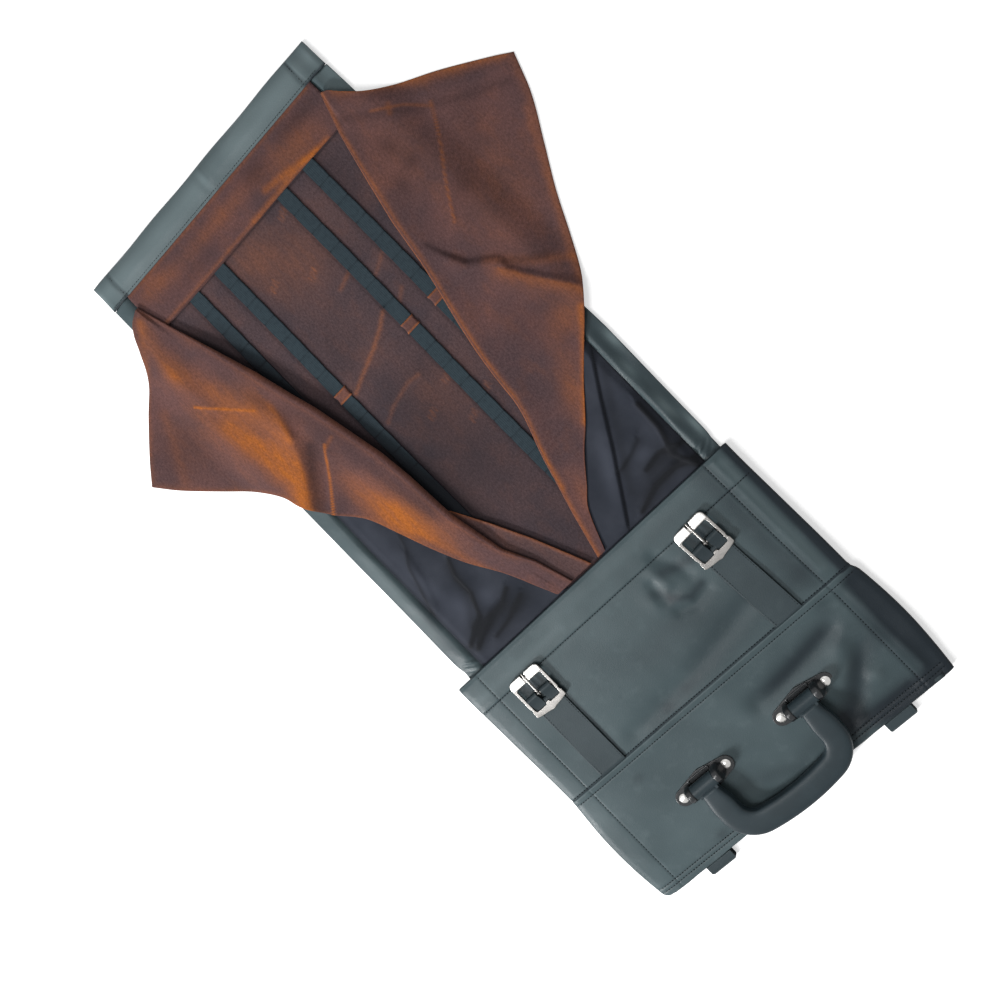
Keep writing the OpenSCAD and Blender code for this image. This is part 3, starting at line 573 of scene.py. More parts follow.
def cover_top(x, y):
    edge = np.minimum(x - cover_side(-1, y), cover_side(1, y) - x)
    z = COVER_Z - 0.1 + 0.35 * ripple(x, y, 120, 11) + 0.25 * ripple(x, y, 55, 12)
    z += painted(x, y, COVER_RELIEF)
    z += 0.5 * smooth((y - HEM_STITCH) / 1.4) - 0.9 * bell(FLAP_Y - y, 3.0) - 1.1 * bell(edge, 3.5)
    z -= 1.5 * smooth((x - 157) / 22.0) + 1.2 * smooth((-160 - x) / 22.0)
    z += 0.7 * stroke(x, y, 4, [(163, 135), (168, 20)]) * smooth((135 - y) / 20)
    z += oval(x, y, -150, 70, 40, 45) * smooth((y + 2) / 20)
    low = smooth((134 - y) / 16.0) * smooth((y + 4) / 22.0)
    return z + low * (painted(x, y, SPINE_RELIEF) - 1.6 * smooth((x - 100) / 50.0))


# worn spots and painted highlights on the cover: light lines along the seam's edge and the right margin, and
# light patches
COVER_WEAR_AND_HIGHLIGHT = [
    (0.22, 5, [(117, 66), (99, 56)]), (0.25, 4, [(44, 216), (71, 211)]), (0.5, 0.7, across(136.0, 60)),
    (0.25, 5, [(-180, 274), (-60, 274)]), (0.35, 4, [(165, 285), (165, 150)]), (0.4, 0.6, across(134.9)),
    (0.12, -110, 40, 60, 40), (0.15, 10, 284, 120, 6)]
# dark seam lines, and painted shade along the folds and dents of the flap and the spine and in patches
COVER_SHADE = [
    (0.6, 0.7, across(HEM_STITCH)), (0.25, 0.8, LEFT_SEAM), (0.3, 1.4, RIGHT_SEAM), (0.9, 0.8, across(136.5)),
    (0.35, 0.6, across(129)), (0.3, 0.9, across(12)), (0.3, 0.9, across(7)),
    (0.22, 9, [(150, 160), (60, 150), (-60, 143)]), (0.22, 9, [(70, 280), (120, 276)]),
    (0.6, 6, [(52, 246), (68, 240), (83, 238)]), (0.6, 5, [(40, 222), (56, 212), (72, 214)]),
    (0.45, 6, [(30, 236), (40, 228)]), (0.3, 30, 200, 60, 16), (0.25, 60, 176, 60, 22),
    (0.3, 7, [(149, 290), (146, 210), (150, 145)]), (0.3, 9, [(140, 290), (138, 220), (140, 150)]),
    (0.25, 8, [(-46, 41), (-12, 32), (16, 21), (44, 31)]), (0.12, -36, 126, 22, 9), (0.4, -38, 146, 8, 6),
    (0.35, -10, 149, 12, 5), (0.35, -111, 112, 7, 5), (0.5, -89, 17, 8, 6),
    # painted shade on the cover inside the windows of the buckles
    (0.85, -120, 249, 17, 8.5), (0.85, 103, 248.5, 17, 8.5)]
SPINE_SHADE = [(0.8, 12, FOLD_C), (0.3, 9, [(140, 128), (134, 104), (128, 90)]), (0.4, 152, 72, 18, 26)]


def marks_for_cover(x, y):
    # painted highlights: a patch on the spine's right end and a line down its right margin
    wear_and_highlight = painted(x, y, COVER_WEAR_AND_HIGHLIGHT) + 0.35 * oval(x, y, 129, 43, 7, 8, 20) * (y < 134)
    wear_and_highlight += 0.3 * stroke(x, y, 3, [(162, 128), (172, 60), (176, 20)]) * (x < 178)
    # painted shade: the flap's right margin, a line beside the left strap, and the spine's right end, its
    # folds and its lower corner
    shade = painted(x, y, COVER_SHADE) + 0.55 * smooth((x - 163) / 18)
    shade += 0.9 * smooth((x - 170) / 7) * (y > 134)
    shade += 0.35 * stroke(x, y, 2.5, [(94, 186), (96, 157), (99, 138)]) * smooth((y - 138) / 8)
    shade += 0.2 * stroke(x, y, 13, [(120, 180), (87, 175), (46, 166), (10, 158)]) * (y > 137.5)
    shade += 0.7 * stroke(x, y, 1.6, [(-101.5, 236), (-101.8, 200), (-103, 160), (-103.5, 138)]) * (y > 137)
    low = painted(x, y, SPINE_SHADE) + 0.7 * smooth((x - 154) / 22) + 0.22 * smooth((x - 148) / 14)
    low += 0.85 * stroke(x, y, 10, moved(FOLD_A, 0, 5)) * smooth((x - 5) / 55) * smooth((138 - x) / 22)
    low += 0.75 * stroke(x, y, 12, moved(FOLD_B, -1, 2)) * smooth((84 - y) / 24)
    low += 0.6 * smooth((26 - y) / 20) * smooth((x - 84) / 30)
    low += 0.35 * smooth((x - 168) / 12) * smooth((124 - y) / 20)
    return tints(wear_and_highlight, shade + low * smooth((134 - y) / 10.0))


# ---------------------------------------------------------------- cover: spine and flap
ys = rows(1.0, FLAP_Y, 2.4, ((HEM_STITCH, 3, 0.5), (133, 6, 0.5), (7.5, 7, 0.6), (FLAP_Y, 4, 0.8)))
us = np.unique(np.concatenate([
    np.linspace(0, 0.02, 6), np.linspace(0.02, 0.98, 210)[1:-1], np.linspace(0.98, 1, 6),
    (LEFT_STITCH + 180) / 362 + np.linspace(-0.006, 0.006, 7),
    (153.5 + 180) / 362 + np.linspace(-0.01, 0.01, 9)]))
X, Y = laid(ys, us, cover_side)
cover = sheet_piece("cover_vinyl", grid(X, Y, cover_top(X, Y)), 2.7, [VINYL, BLACK, VINYL_EDGE],
                    marks_for_cover(X, Y), 0.45)
dress(cover, "vinyl", "spine_panel", "spine_lining", "seam_welt", "flap_panel", "flap_lining", "flap_hem",
      between=("spine", "front_flap", at(0, 132.5, 12), at(0, 137.5, 12)))


def on_cover(*points):
    """Points every 4 mm or so along a line on the cover."""
    runs = []
    for a, b in zip(points[:-1], points[1:]):
        a, b = np.array(a, float), np.array(b, float)
        n = max(2, int(np.linalg.norm(b - a) / 4.0) + 1)
        runs.append(a + (b - a) * np.linspace(0, 1, n)[:, None])
    p = np.vstack(runs)
    return np.column_stack([p, cover_top(p[:, 0], p[:, 1]) + 0.12])


def cross_run(y, inset):
    return on_cover((cover_side(-1, y) + inset, y), (cover_side(1, y) - inset, y))


spine_runs = [cross_run(y, 4) for y in (7.0, 12.0, 129.0)]
spine_runs += [on_cover((LEFT_STITCH, 14), (LEFT_STITCH, 127)), on_cover((155.5, 14), (155, 127))]
flap_runs = [cross_run(y, 3) for y in (137.6, HEM_STITCH)]
flap_runs += [on_cover((LEFT_STITCH, 140), (LEFT_STITCH, 293)),
              on_cover((154.8, 140), (RIGHT_STITCH, 200), (151, 293))]
add_stitches("spine_stitches", spine_runs, THREAD, "spine", 3.4, (2.1, 0.95, 0.4))
add_stitches("flap_stitches", flap_runs, THREAD, "front_flap", 3.4, (2.1, 0.95, 0.4))

# turn of the shell round the bottom fold, up to the spine
turn_profile = curve_through([(26, 3.2), (20, 2.35), (8, 2.3), (3.0, 2.6), (0.4, 4.2), (-0.45, 7.0),
                              (-0.5, 9.6), (0.1, 11.4), (1.6, 12.5), (4.0, 12.2)], 34)


def turn_point(p, x):
    wobble = 0.35 * math.sin(x / 17.0) + 0.25 * math.sin(x / 7.3 + 1)
    return [x, p[0] + wobble * (p[0] < 4), p[1]]


def swept(name, profile, along, place, marks=None, mat=VINYL):
    """A section of (y, z) or (inward, z) carried along stations."""
    return lofted(name, [[place(p, s) for p in profile] for s in along], [mat], marks)


bottom_turn = swept("bottom_turn", turn_profile, np.linspace(-168.6, 174.6, 90), turn_point, mat=VINYL_EDGE)
dress(bottom_turn, "vinyl", between=("case_back", "spine", at(0, 0, 4.0), at(0, 0, 11.5)))

# ---------------------------------------------------------------- shell, hems and linings
X, Y = laid(rows(8.0, END_Y - 3, 6.0, ((298, 14, 1.5),)), np.linspace(0, 1, 44), shell_x, -2.5)
shell = sheet_piece("shell_vinyl", grid(X, Y, 4.15 + 0.08 * ripple(X, Y, 90, 21)), 1.85,
                    [VINYL, VINYL, VINYL_EDGE], None, 0.4)
dress(shell, "vinyl", "back_shell", "display_shell", between=CROSS_FOLD)

hem_profile = curve_through([(9.0, 3.1), (6.0, 2.45), (2.2, 2.3), (0.4, 2.9), (0.0, 3.9), (0.9, 4.9),
                             (4.0, 6.0), (8.5, 7.2), (12.5, 8.1), (16.0, 8.3), (18.8, 7.3), (20.6, 6.1),
                             (21.8, 5.5), (22.7, 5.1), (23.2, 4.5)], 36)


def hem_point(side, p, y):
    """The hem is lumpy and pinched at the cross fold; the right one lies flatter at its outer edge."""
    d, z = p
    lump = 0.9 * math.sin(y / 12.0 + side + 0.12 * d) + 0.9 * math.sin(y / 29.0 + 2 * side)
    lump += 0.35 * math.sin(y / 5.7 + 0.2 * d)
    pinch = bell(y - 302, 9.0)
    crumple = bell(y - 306, 8.0) * math.sin(y * 0.9 + 0.5 * d)
    rise = max(0.0, (z - 5.0) / 3.2) * ((0.8 if side > 0 else 0.34) * lump - pinch + 0.7 * crumple)
    if side > 0 and z > 4.9:
        z = 4.4 + (z - 4.4) * (0.35 + 0.65 * float(smooth((d - 5) / 14.0)))
    inward = d + 0.5 * math.sin(y / 47.0 + side) * max(0, 1 - d / 12) + 2.0 * pinch * max(0, 1 - d / 10)
    return [float(shell_x(side, y)) - side * inward, y, z + rise]


hem_ys = rows(10.0, HEADER_TOP - 0.5, 4.0, ((298, 14, 1.5),))
D, Y = np.meshgrid(hem_profile[:, 0], hem_ys)
for side, tag in SIDES:
    valley = bell(D - 22, 1.6)
    # right hem: painted highlights in streaks and on its upper end, painted shade on its outer slope and in
    # its seam's valley; left hem: painted shade overall, in patches and in its seam's valley, and a painted
    # highlight
    if side > 0:
        wear_and_highlight = painted(D, Y, [(0.75, 3, 437, 5, 12), (0.7, 11, 356, 4, 15), (0.8, 3, 326, 4, 13),
                              (0.5, 12, 408, 4, 12)])
        upper = smooth((Y - 690) / 50)
        shade = 0.5 * (1 - upper) * smooth((20 - D) / 4) * (1 - np.clip(wear_and_highlight * 1.4, 0, 1))
        shade += 0.7 * (1 - 0.6 * upper) * valley
        wear_and_highlight += 0.45 * upper * smooth((18 - D) / 6)
    else:
        wear_and_highlight = 0.3 * oval(D, Y, 8, 400, 6, 60)
        shade = 0.08 + painted(D, Y, [(0.35, 10, 330, 8, 22), (0.5, 17, 366, 6, 14)]) + 0.6 * valley
    hem = swept("hem_" + tag, hem_profile, hem_ys, lambda p, y: hem_point(side, p, y), tints(wear_and_highlight, shade))
    dress(hem, "vinyl", *(("back_hems", "display_hems") if side < 0 else ()), between=CROSS_FOLD)
    run = [[float(seam_x(side, y)) + side * 2.6, y, 6.2 + 0.1 * math.sin(y / 13.0)]
           for y in np.arange(312, HEADER_TOP - 2, 4.0)]
    add_stitches("hem_stitches_" + tag, [run], THREAD_PALE if side < 0 else THREAD, "display")


def fold_shadow(x, y):
    """Deep pocket beside the left wing's folded edge."""
    far = np.interp(y, [296, 447, 495, 542, 583, 628, 673, 720, 760],
                    [-14, -22, -29, -37, -46, -62, -75, -86, -100])
    near = crease_x(-1, y)
    s = np.clip((x - near) / np.maximum(far - near, 3.0), 0, 1)
    return (0.8 * (1 - s) ** 1.1 + 0.4 * bell(s, 0.4)) * smooth((760 - y) / 60) * smooth((y - 330) / 60)


# brushed cotton on the display panel, with small scuffs across its pile and painted highlights along its
# creases
PANEL_WEAR_AND_HIGHLIGHT = [
    (0.6, 2.0, PANEL_CREASE), (0.3, 2.0, [(16, 543), (2, 545), (-25, 539), (-40, 532)]),
    (0.3, 2, [(64, 612), (48, 601)]), (0.28, 2, [(75, 648), (55, 638)]), (0.35, 2, [(39, 659), (19, 653)]),
    (0.35, -20, 735, 26, 22), (0.28, 10, 700, 40, 30), (0.05, -15, 620, 30, 40), (0.15, 20, 520, 40, 30)]
PANEL_WEAR_AND_HIGHLIGHT += [
    (0.38, 0.9, [(cx + 3 * q, cy + 1.5 * q - 3), (cx + 3 * q - 1, cy + 1.5 * q + 3)])
    for cx, cy in ((50, 486), (22, 476), (68, 447), (30, 520), (-6, 505), (-30, 700), (26, 740), (6, 680))
    for q in range(4)]
X, Y = laid(rows(286.0, HEADER_TOP + 4, 2.1), np.linspace(0, 1, 150), seam_x, 0.5)
# painted shade: dark patches, a line at the header's foot, the pocket beside the left wing, lines beside the
# elastics, and darker towards the cross fold
shade = painted(X, Y, [(0.45, -15, 470, 60, 75), (0.35, 95, 720, 14, 60), (0.12, -34, 610, 16, 30),
                       (0.6, 1.4, across(754.4, 140))])
shade += 1.1 * fold_shadow(X, Y) + 0.3 * smooth((480 - Y) / 200)
for centre, _ in BANDS:
    shade += 0.4 * bell(np.abs(X - centre) - 8.8, 1.6)
panel = sheet_piece("panel_cotton", grid(X, Y, panel_top(X, Y)), 1.25, [BROWN_DARK, BLACK, BROWN_DARK],
                    tints(painted(X, Y, PANEL_WEAR_AND_HIGHLIGHT), shade, 0.95), 0.3)
dress(panel, "brown_cloth", "display_panel", between=CROSS_FOLD)

X, Y = laid(rows(12.0, 285.6, 12.0), np.linspace(0, 1, 20), seam_x)
lining = sheet_piece("back_lining_cloth", grid(X, Y, 5.4), 1.0, [BLACK, BLACK, BLACK])
dress(lining, "black_cloth", "back_lining", body="case_back")

# strip of the shell turned back over its own end
STRIP_SEAMS = (-141.0, 133.0)
strip_profile = curve_through([(806.5, 4.4), (804.4, 4.6), (803.9, 6.1), (804.4, 7.3), (806.6, 7.7),
                               (810, 8.5), (816, 9.7), (822, 9.6), (828, 8.4), (832.6, 6.8), (834.7, 5.2),
                               (834.7, 3.5), (832.8, 2.4), (828, 2.3), (824, 3.0)], 46)


def strip_x(y, u):
    return shell_x(-1, y) + (shell_x(1, y) - shell_x(-1, y)) * u


def strip_point(p, u):
    y, z = p
    x = float(strip_x(y, u))
    top = max(0.0, (z - 6.5) / 1.8)
    puff = 0.4 * math.sin(x / 23.0) + 0.22 * math.sin(x / 9.0 + 1.2)
    puff += 0.4 * bell(x - 6, 4) - 0.6 * bell(x + 4, 4)
    puff -= 0.8 * sum(bell(x - c, 1.5) for c in STRIP_SEAMS) + 1.3 * float(smooth((abs(x + 3) - 138) / 18.0))
    tuck = 1.6 * (1 - min(1.0, min(u, 1 - u) / 0.012)) * max(0.0, (z - 4) / 4)
    y += 0.5 * math.sin(x / 37.0) * top + 0.35 * math.sin(x / 14.0) * (p[0] > 833)
    return [x, y, z + top * puff - tuck]


us = np.concatenate([[0, 0.003, 0.007, 0.012], np.linspace(0.012, 0.988, 130)[1:-1],
                     [0.988, 0.993, 0.997, 1]])
PY, PZ = strip_profile.T[:, None]
X = strip_x(PY, us[:, None])
# painted highlight along the strip's crown, stronger and weaker along it; painted shade at its seams, its
# ends and its inner edge
wear_and_highlight = (0.45 + 0.55 * bell(PY - 821, 9.0)) * np.where(PZ > 6.2, 1.0, 0.3)
wear_and_highlight = wear_and_highlight * (1 + 0.3 * bell(X - 69, 20.0) - 0.22 * bell(X - 21, 16.0) - 0.15 * bell(X + 150, 14.0))
shade = 0.75 * sum(bell(X - c, 1.5) for c in STRIP_SEAMS) * (PZ > 6.2) + 0.25 * bell(X - 4, 2.5) * (PZ > 7)
shade += 0.9 * smooth((np.abs(X + 3) - 134) / 5) * bell(PY - 804.5, 1.8) + 0.2 * bell(X - 145, 5.0)
strip = swept("end_strip_vinyl", strip_profile, us, strip_point, tints(wear_and_highlight, shade))
dress(strip, "vinyl", "end_strip", body="display")
runs = [[[x, 806.4, 8.15] for x in np.arange(-160, 156, 4.0)]]
runs += [[[c, y, 8.2] for y in np.arange(808, 832, 3.0)] for c in STRIP_SEAMS]
add_stitches("strip_stitches", runs, THREAD, "display")

# header band over the tops of the elastics
ys = np.concatenate([[755.2, 755.0, 755.3, 756.2, 758.0], np.linspace(761, 800, 22), [802.5, 804.2, 805.5]])
zs = np.concatenate([[5.95, 6.6, 7.35, 7.9, 8.1], np.full(22, 7.75), [7.4, 6.8, 6.2]])[:, None]
X, Y = laid(ys, np.linspace(0, 1, 110), seam_x)
Z = zs + (zs > 7) * (0.35 * ripple(X, Y, 45, 31, (1, 2)) + 0.7 * stroke(X, Y, 4, [(60, 764), (98, 757)]))
Y = Y + 0.9 * np.sin(X / 42.0) * (Y < 760)
# orange wear and painted highlights along the header's lower fold and top edge; painted shade in patches and
# along its foot
HEADER_WEAR_AND_HIGHLIGHT = [
    (0.5, 3.2, [(5, 757.5), (40, 758), (75, 759), (112, 756)]), (0.5, 4, [(36, 769), (65, 764), (98, 756)]),
    (0.3, 2, [(-140, 758), (0, 757.5)]), (0.3, 1.6, [(-139, 802), (132, 802)]),
    (0.3, 85, 775, 30, 14), (0.25, -20, 785, 60, 8), (0.3, -110, 790, 22, 10)]
HEADER_SHADE = [(0.4, 40, 788, 18, 10), (0.4, 105, 790, 26, 8), (0.3, -70, 770, 30, 8),
                (0.55, 0.9, across(755.0, 140))]
header = sheet_piece("header_cotton", grid(X, Y, Z), 1.0, [BROWN, BROWN, BROWN],
                     tints(painted(X, Y, HEADER_WEAR_AND_HIGHLIGHT), painted(X, Y, HEADER_SHADE)), 0.2,
                     bottom=grid(X, np.clip(Y, 756.2, 804), np.minimum(Z - 0.9, 6.6)))
dress(header, "brown_cloth", "header_band", body="display")

# elastic bands, sewn down between their loops, and the tabs that carry them over the break
LOOP_LENGTH, LOOP_SHARES = 24, np.array([0, 0.03, 0.07, 0.12, 0.3, 0.5, 0.7, 0.88, 0.93, 0.97])
for centre, k in BANDS:
    for part, lo, hi in (("upper", 587.0, 757.0), ("lower", 298.8, 577.0)):
        loops = max(1, round((hi - lo) / LOOP_LENGTH))
        shares = np.append((np.arange(loops)[:, None] + LOOP_SHARES).ravel() / loops, 1.0)
        Y, D = np.meshgrid(shares * (hi - lo) + lo, [-7.3, -6.9, -6.0, -3.5, 0, 3.5, 6.0, 6.9, 7.3],
                           indexing="ij")
        phase = (Y - lo) / (hi - lo) * loops
        near, off = np.minimum(phase % 1.0, 1 - phase % 1.0), np.abs(D)
        rise = 0.22 * (1 - bell(near, 0.07)) * (1 - 0.35 * (off / 7.75) ** 4)
        X = centre + D + 0.5 * np.sin(Y / 60.0 + k) + 0.25 * np.sign(D) * np.sin(math.pi * phase) ** 2
        Z = panel_top(X, Y) + 1.1 + rise - 0.25 * (off > 7.1)
        # dark lines where the loops are sewn, and painted shade along the bands' edges, in the pocket beside
        # the left wing and towards the cross fold
        shade = bell(near, 0.03) * (0.28 + 0.3 * smooth((off - 4.5) / 2)) + 0.45 * smooth((off - 6.2) / 1.1)
        shade += 1.8 * fold_shadow(X, Y) + 0.3 * smooth((460 - Y) / 160)
        name = "elastic_%s_%d" % (part, k)
        band = sheet_piece(name + "_band", grid(X, Y, Z), 0.9, [ELASTIC] * 3, {"shade": np.clip(shade, 0, 1)},
                           0.35)
        dress(band, "elastic", name, body="display")

TAB_ROWS, TAB_COLUMNS = 15, 13
Y, D = np.meshgrid(np.linspace(576.2, 587.8, TAB_ROWS), np.linspace(-8.3, 8.3, TAB_COLUMNS), indexing="ij")
t = (Y - 582) / 5.8
rise = 2.0 - t ** 4 + 0.5 * bell(np.abs(t) - 0.75, 0.2) - 0.9 * bell(np.abs(D) - 8.3, 1.0)
count = t.size
verts, faces = [], []
for centre, _ in BANDS:
    up = grid_faces(TAB_ROWS, TAB_COLUMNS, first=len(verts))
    i, j = rim_of(TAB_ROWS, TAB_COLUMNS)
    rim = i * TAB_COLUMNS + j + len(verts)
    rim_next = np.roll(rim, -1)
    faces += list(np.stack([up, np.roll(up, -1, axis=1) + count], 1).reshape(-1, 4))
    faces += list(np.stack([rim, rim + count, rim_next + count, rim_next], 1))
    top = grid(centre + D * (1 - 0.12 * (1 - t * t)), Y, panel_top(centre + D, Y) + rise).reshape(-1, 3)
    verts += list(top) + list(top - [0, 0, 0.8])
# the tabs are lighter towards their folded ends: wear and painted highlight
wear_and_highlight = np.tile(np.ravel(0.1 + 0.5 * bell(np.abs(t) - 0.85, 0.16)), 2 * len(BANDS))
tabs = mesh_piece("bridge_tab_loops", verts, faces, [BROWN], marks={"wear_and_highlight": wear_and_highlight})
dress(tabs, "brown_cloth", "bridge_tabs", body="display")

# ---------------------------------------------------------------- wings
# Outlines and folded edges as (share of the way down the crease, mm out from the crease).
WING_EDGE = {
    -1: [(0.004, 7), (0.014, 17), (0.033, 27), (0.063, 39), (0.106, 59), (0.158, 95), (0.217, 133),
         (0.26, 158), (0.309, 143), (0.373, 118), (0.43, 95), (0.475, 82), (0.516, 79), (0.567, 69),
         (0.628, 51), (0.692, 44), (0.764, 38), (0.833, 30), (0.9, 18), (0.966, 10), (1, 6)],
    1: [(0.006, 7), (0.026, 17), (0.059, 37), (0.092, 65), (0.134, 106), (0.185, 150), (0.215, 174),
        (0.293, 168), (0.37, 155), (0.445, 142), (0.522, 132), (0.591, 122), (0.638, 109), (0.693, 88),
        (0.738, 71), (0.795, 52), (0.833, 36.5), (0.883, 21), (0.921, 9.5), (1, 2.2)]}
WING_CORNER = {-1: 7, 1: 6}
WING_FOLD = {
    -1: [(0.0, 1), (0.078, 4), (0.172, 9.5), (0.262, 14.5), (0.338, 16), (0.401, 18), (0.477, 17.5),
         (0.555, 17), (0.628, 13), (0.706, 6.5), (0.743, 3.5), (0.86, 2), (0.921, 10.5), (1, 14)],
    1: [(0.0, 1), (0.077, 5.5), (0.165, 6.5), (0.266, 6.7), (0.356, 3.5), (0.512, 1.5), (0.669, 1.5),
        (0.744, 3), (0.833, 3.6), (0.909, 6), (1, 7.4)]}
LEFT_LAP = [(0.73, 3), (0.809, 16.5), (0.884, 27), (0.954, 34.5), (1, 39)]

LEFT_CREST = [(-99, 561), (-102, 558), (-120, 536), (-147, 506)]
LEFT_LINE = [(-172, 681), (-150, 658), (-127, 634)]
WING_RELIEF = {
    -1: [(1.4, 2.2, 4.0, 0.5, [(-111, 622), (-113, 607), (-119, 588)]), (0.5, 1.3, LEFT_LINE),
         (3.0, 16, 7, 1.2, [(-150, 775), (-157, 752), (-164, 725), (-162, 700), (-160, 672)]),
         (2.0, 14, 18, 1.2, [(-170, 654), (-164, 608), (-156, 566)]),
         (2.4, 14, 10, 1.2, [(-120, 470), (-104, 430), (-88, 385)])],
    1: [(0.8, 2.0, 5.0, 0.4, [(205, 709), (183, 673), (161, 643), (143, 615)]),
        (4.2, 3.2, 18, 0.5, [(105, 620), (116, 596), (124, 580), (141, 567), (149, 560), (147, 552),
                             (153, 541), (164, 526), (188, 490)]),
        (2.4, 12, 14, 1.2, [(146, 768), (198, 722), (272, 680)]),
        (1.6, 12, 8, 1.2, [(176, 482), (150, 450), (100, 398)]),
        (1.6, 12, 7, 1.2, [(268, 640), (214, 545), (192, 500)]), (1.8, 130, 470, 24, 40, -30),
        (1.4, 70, 380, 16, 30, -30)]}
# orange where the pile is rubbed, and painted highlights on the lit sides of the folds and creases;
# WING_SHADE below paints shade on their far sides
WING_WEAR_AND_HIGHLIGHT = {
    -1: [(0.33, 2.5, 15, 1.2, [(-111, 628), (-114, 605), (-120, 592), (-130, 570), (-143, 552), (-161, 530)]),
         (0.36, 1.2, 3.5, 1.2, [(-110, 624), (-113, 607), (-119, 588)]),
         (0.33, 9, [(-150, 775), (-159, 745), (-163, 715)]),
         (0.27, 13, [(-160, 720), (-150, 690), (-140, 668)]), (0.45, 1.2, LEFT_LINE), (0.15, 7, LEFT_LINE),
         (0.24, 9, [(-172, 668), (-166, 640), (-156, 600), (-158, 572)]), (0.48, 1.2, LEFT_CREST),
         (0.3, 2, [(-88, 561), (-100, 558)]), (0.3, 4, [(-96, 446), (-82, 398), (-68, 350)]),
         (0.24, 5, [(-150, 775), (-172, 752), (-184, 740)]),
         (0.18, 6, [(-205, 700), (-215, 680), (-240, 640)]),
         (0.21, 12, [(-158, 716), (-140, 660), (-126, 610), (-140, 560)]),
         (0.6, 12, [(-158, 640), (-150, 600), (-146, 560), (-158, 534)]),
         (0.5, 5, [(-136, 566), (-150, 542), (-163, 526)]), (0.3, -108, 508, 13, 26),
         (0.33, -98, 468, 12, 30, 12), (0.12, -205, 650, 35, 40), (0.18, -150, 610, 40, 60, 20),
         (0.9, -97, 456, 17, 32, 14), (0.3, -80, 420, 12, 30, 14)],
    1: [(0.45, 1.1, [(205, 709), (183, 673), (161, 643), (144, 616)]),
        (0.4, 6, [(150, 780), (206, 734), (280, 690)]), (0.16, 4, [(262, 640), (212, 545), (190, 500)]),
        (0.5, 4, [(172, 478), (148, 449), (100, 399)]),
        (0.45, 1.2, 8, 1.2, [(146, 553), (155, 537), (166, 519), (184, 493)]),
        (0.3, 3.5, [(98, 640), (66, 480), (40, 370)]), (0.35, 2.4, [(176, 735), (172, 728)]),
        (0.3, 1.6, [(160, 742), (185, 725), (202, 706)]), (0.25, 5, [(141, 570), (170, 540), (200, 516)]),
        (0.3, 155, 483, 18, 14), (0.3, 112, 430, 12, 28, -30), (0.2, 52, 352, 10, 24, -20),
        (0.12, 150, 700, 26, 40), (0.14, 195, 610, 40, 60, -20), (0.25, 96, 672, 12, 30, -20)]}
WING_SHADE = {
    -1: [(0.6, 8, 6, 1.2, [(-112, 570), (-135, 545), (-158, 518)]),
         (0.3, 9, [(-118, 640), (-100, 600), (-86, 560), (-80, 500), (-70, 440)]),
         (0.3, -225, 664, 26, 30), (0.14, -190, 655, 22, 26), (0.1, -160, 698, 16, 16)],
    1: [(0.5, 1.8, [(110, 622), (118, 600), (126, 584), (142, 573), (151, 566)]),
        (0.45, 4, [(150, 560), (166, 545), (184, 534)]),
        (0.3, 5, [(135, 757), (194, 712), (222, 694), (268, 668)]), (0.22, 215, 668, 40, 20, 45),
        (0.4, 149, 708, 8, 12, 20), (0.4, 155, 684, 9, 9), (0.35, 133, 676, 7, 12), (0.35, 175, 633, 12, 10),
        (0.16, 120, 503, 18, 30)]}


def edge_rows(side, count=270):
    """Outline samples and the crease share each one's row starts from; the corner stays sharp."""
    edge, corner = WING_EDGE[side], WING_CORNER[side]
    first = curve_through(edge[:corner + 1], count // 3)
    second = curve_through(edge[corner:], count - count // 3)
    roots = edge[corner][0] * np.linspace(0, 1, len(first))
    return np.vstack([first, second[1:]]), np.concatenate([roots, second[1:, 0]])


def wing_relief(side, x, y, v, root):
    """Height of the folds in a turned wing above its resting plane."""
    z = painted(x, y, WING_RELIEF[side])
    if side < 0:
        fold = 7.0 * ridge(x, y, 9, 26, 1.2,
                           [(-106, 640), (-113, 607), (-119, 594), (-129, 570), (-143, 550), (-164, 526)])
        crest = 2.6 * ridge(x, y, 12, 2.5, 0.6, [(-96, 567), (-101, 559), (-120, 536), (-150, 504)])
        z += np.maximum(fold, crest) + 0.8 * ripple(x, y, 90, 41)
    else:
        z += 0.9 * ripple(x, y, 110, 42)
    z = np.where(z < 0, z * 0.25, z)
    return z * smooth(v * 5) * smooth((1 - root) * 14) * (1 - 0.35 * v)


def wing_marks(side, x, y, v):
    # wear and painted highlights, painted shade, and a light band along the outline
    wear_and_highlight, shade = painted(x, y, WING_WEAR_AND_HIGHLIGHT[side]), painted(x, y, WING_SHADE[side])
    if side < 0:
        wear_and_highlight *= 1 - painted(x, y, [(0.4, -120, 700, 40, 40), (0.45, -205, 620, 26, 50)])
        wear_and_highlight += painted(x, y, [(0.7, 1.1, LEFT_CREST), (0.6, 1.1, LEFT_LINE), (0.16, -122, 645, 14, 22)])
    return np.clip(wear_and_highlight + 0.22 * bell((1 - v) * 60, 2.5), 0, 1), np.clip(shade, 0, 0.8)


def roll_radius(side, root):
    """Radius of the roll along the folded edge."""
    if side < 0:
        return 1.0 + 4.1 * smooth((root - 0.06) / 0.24) * smooth((0.99 - root) / 0.28)
    return 0.9 + smooth((root - 0.05) / 0.2) * smooth((0.95 - root) / 0.3)


def bow(side, y):
    """The right fold bulges outward a little above the cover."""
    return 5.6 * bell(y - 447, 36.0) - 2.0 * bell(y - 540, 40.0) if side > 0 else 0 * y


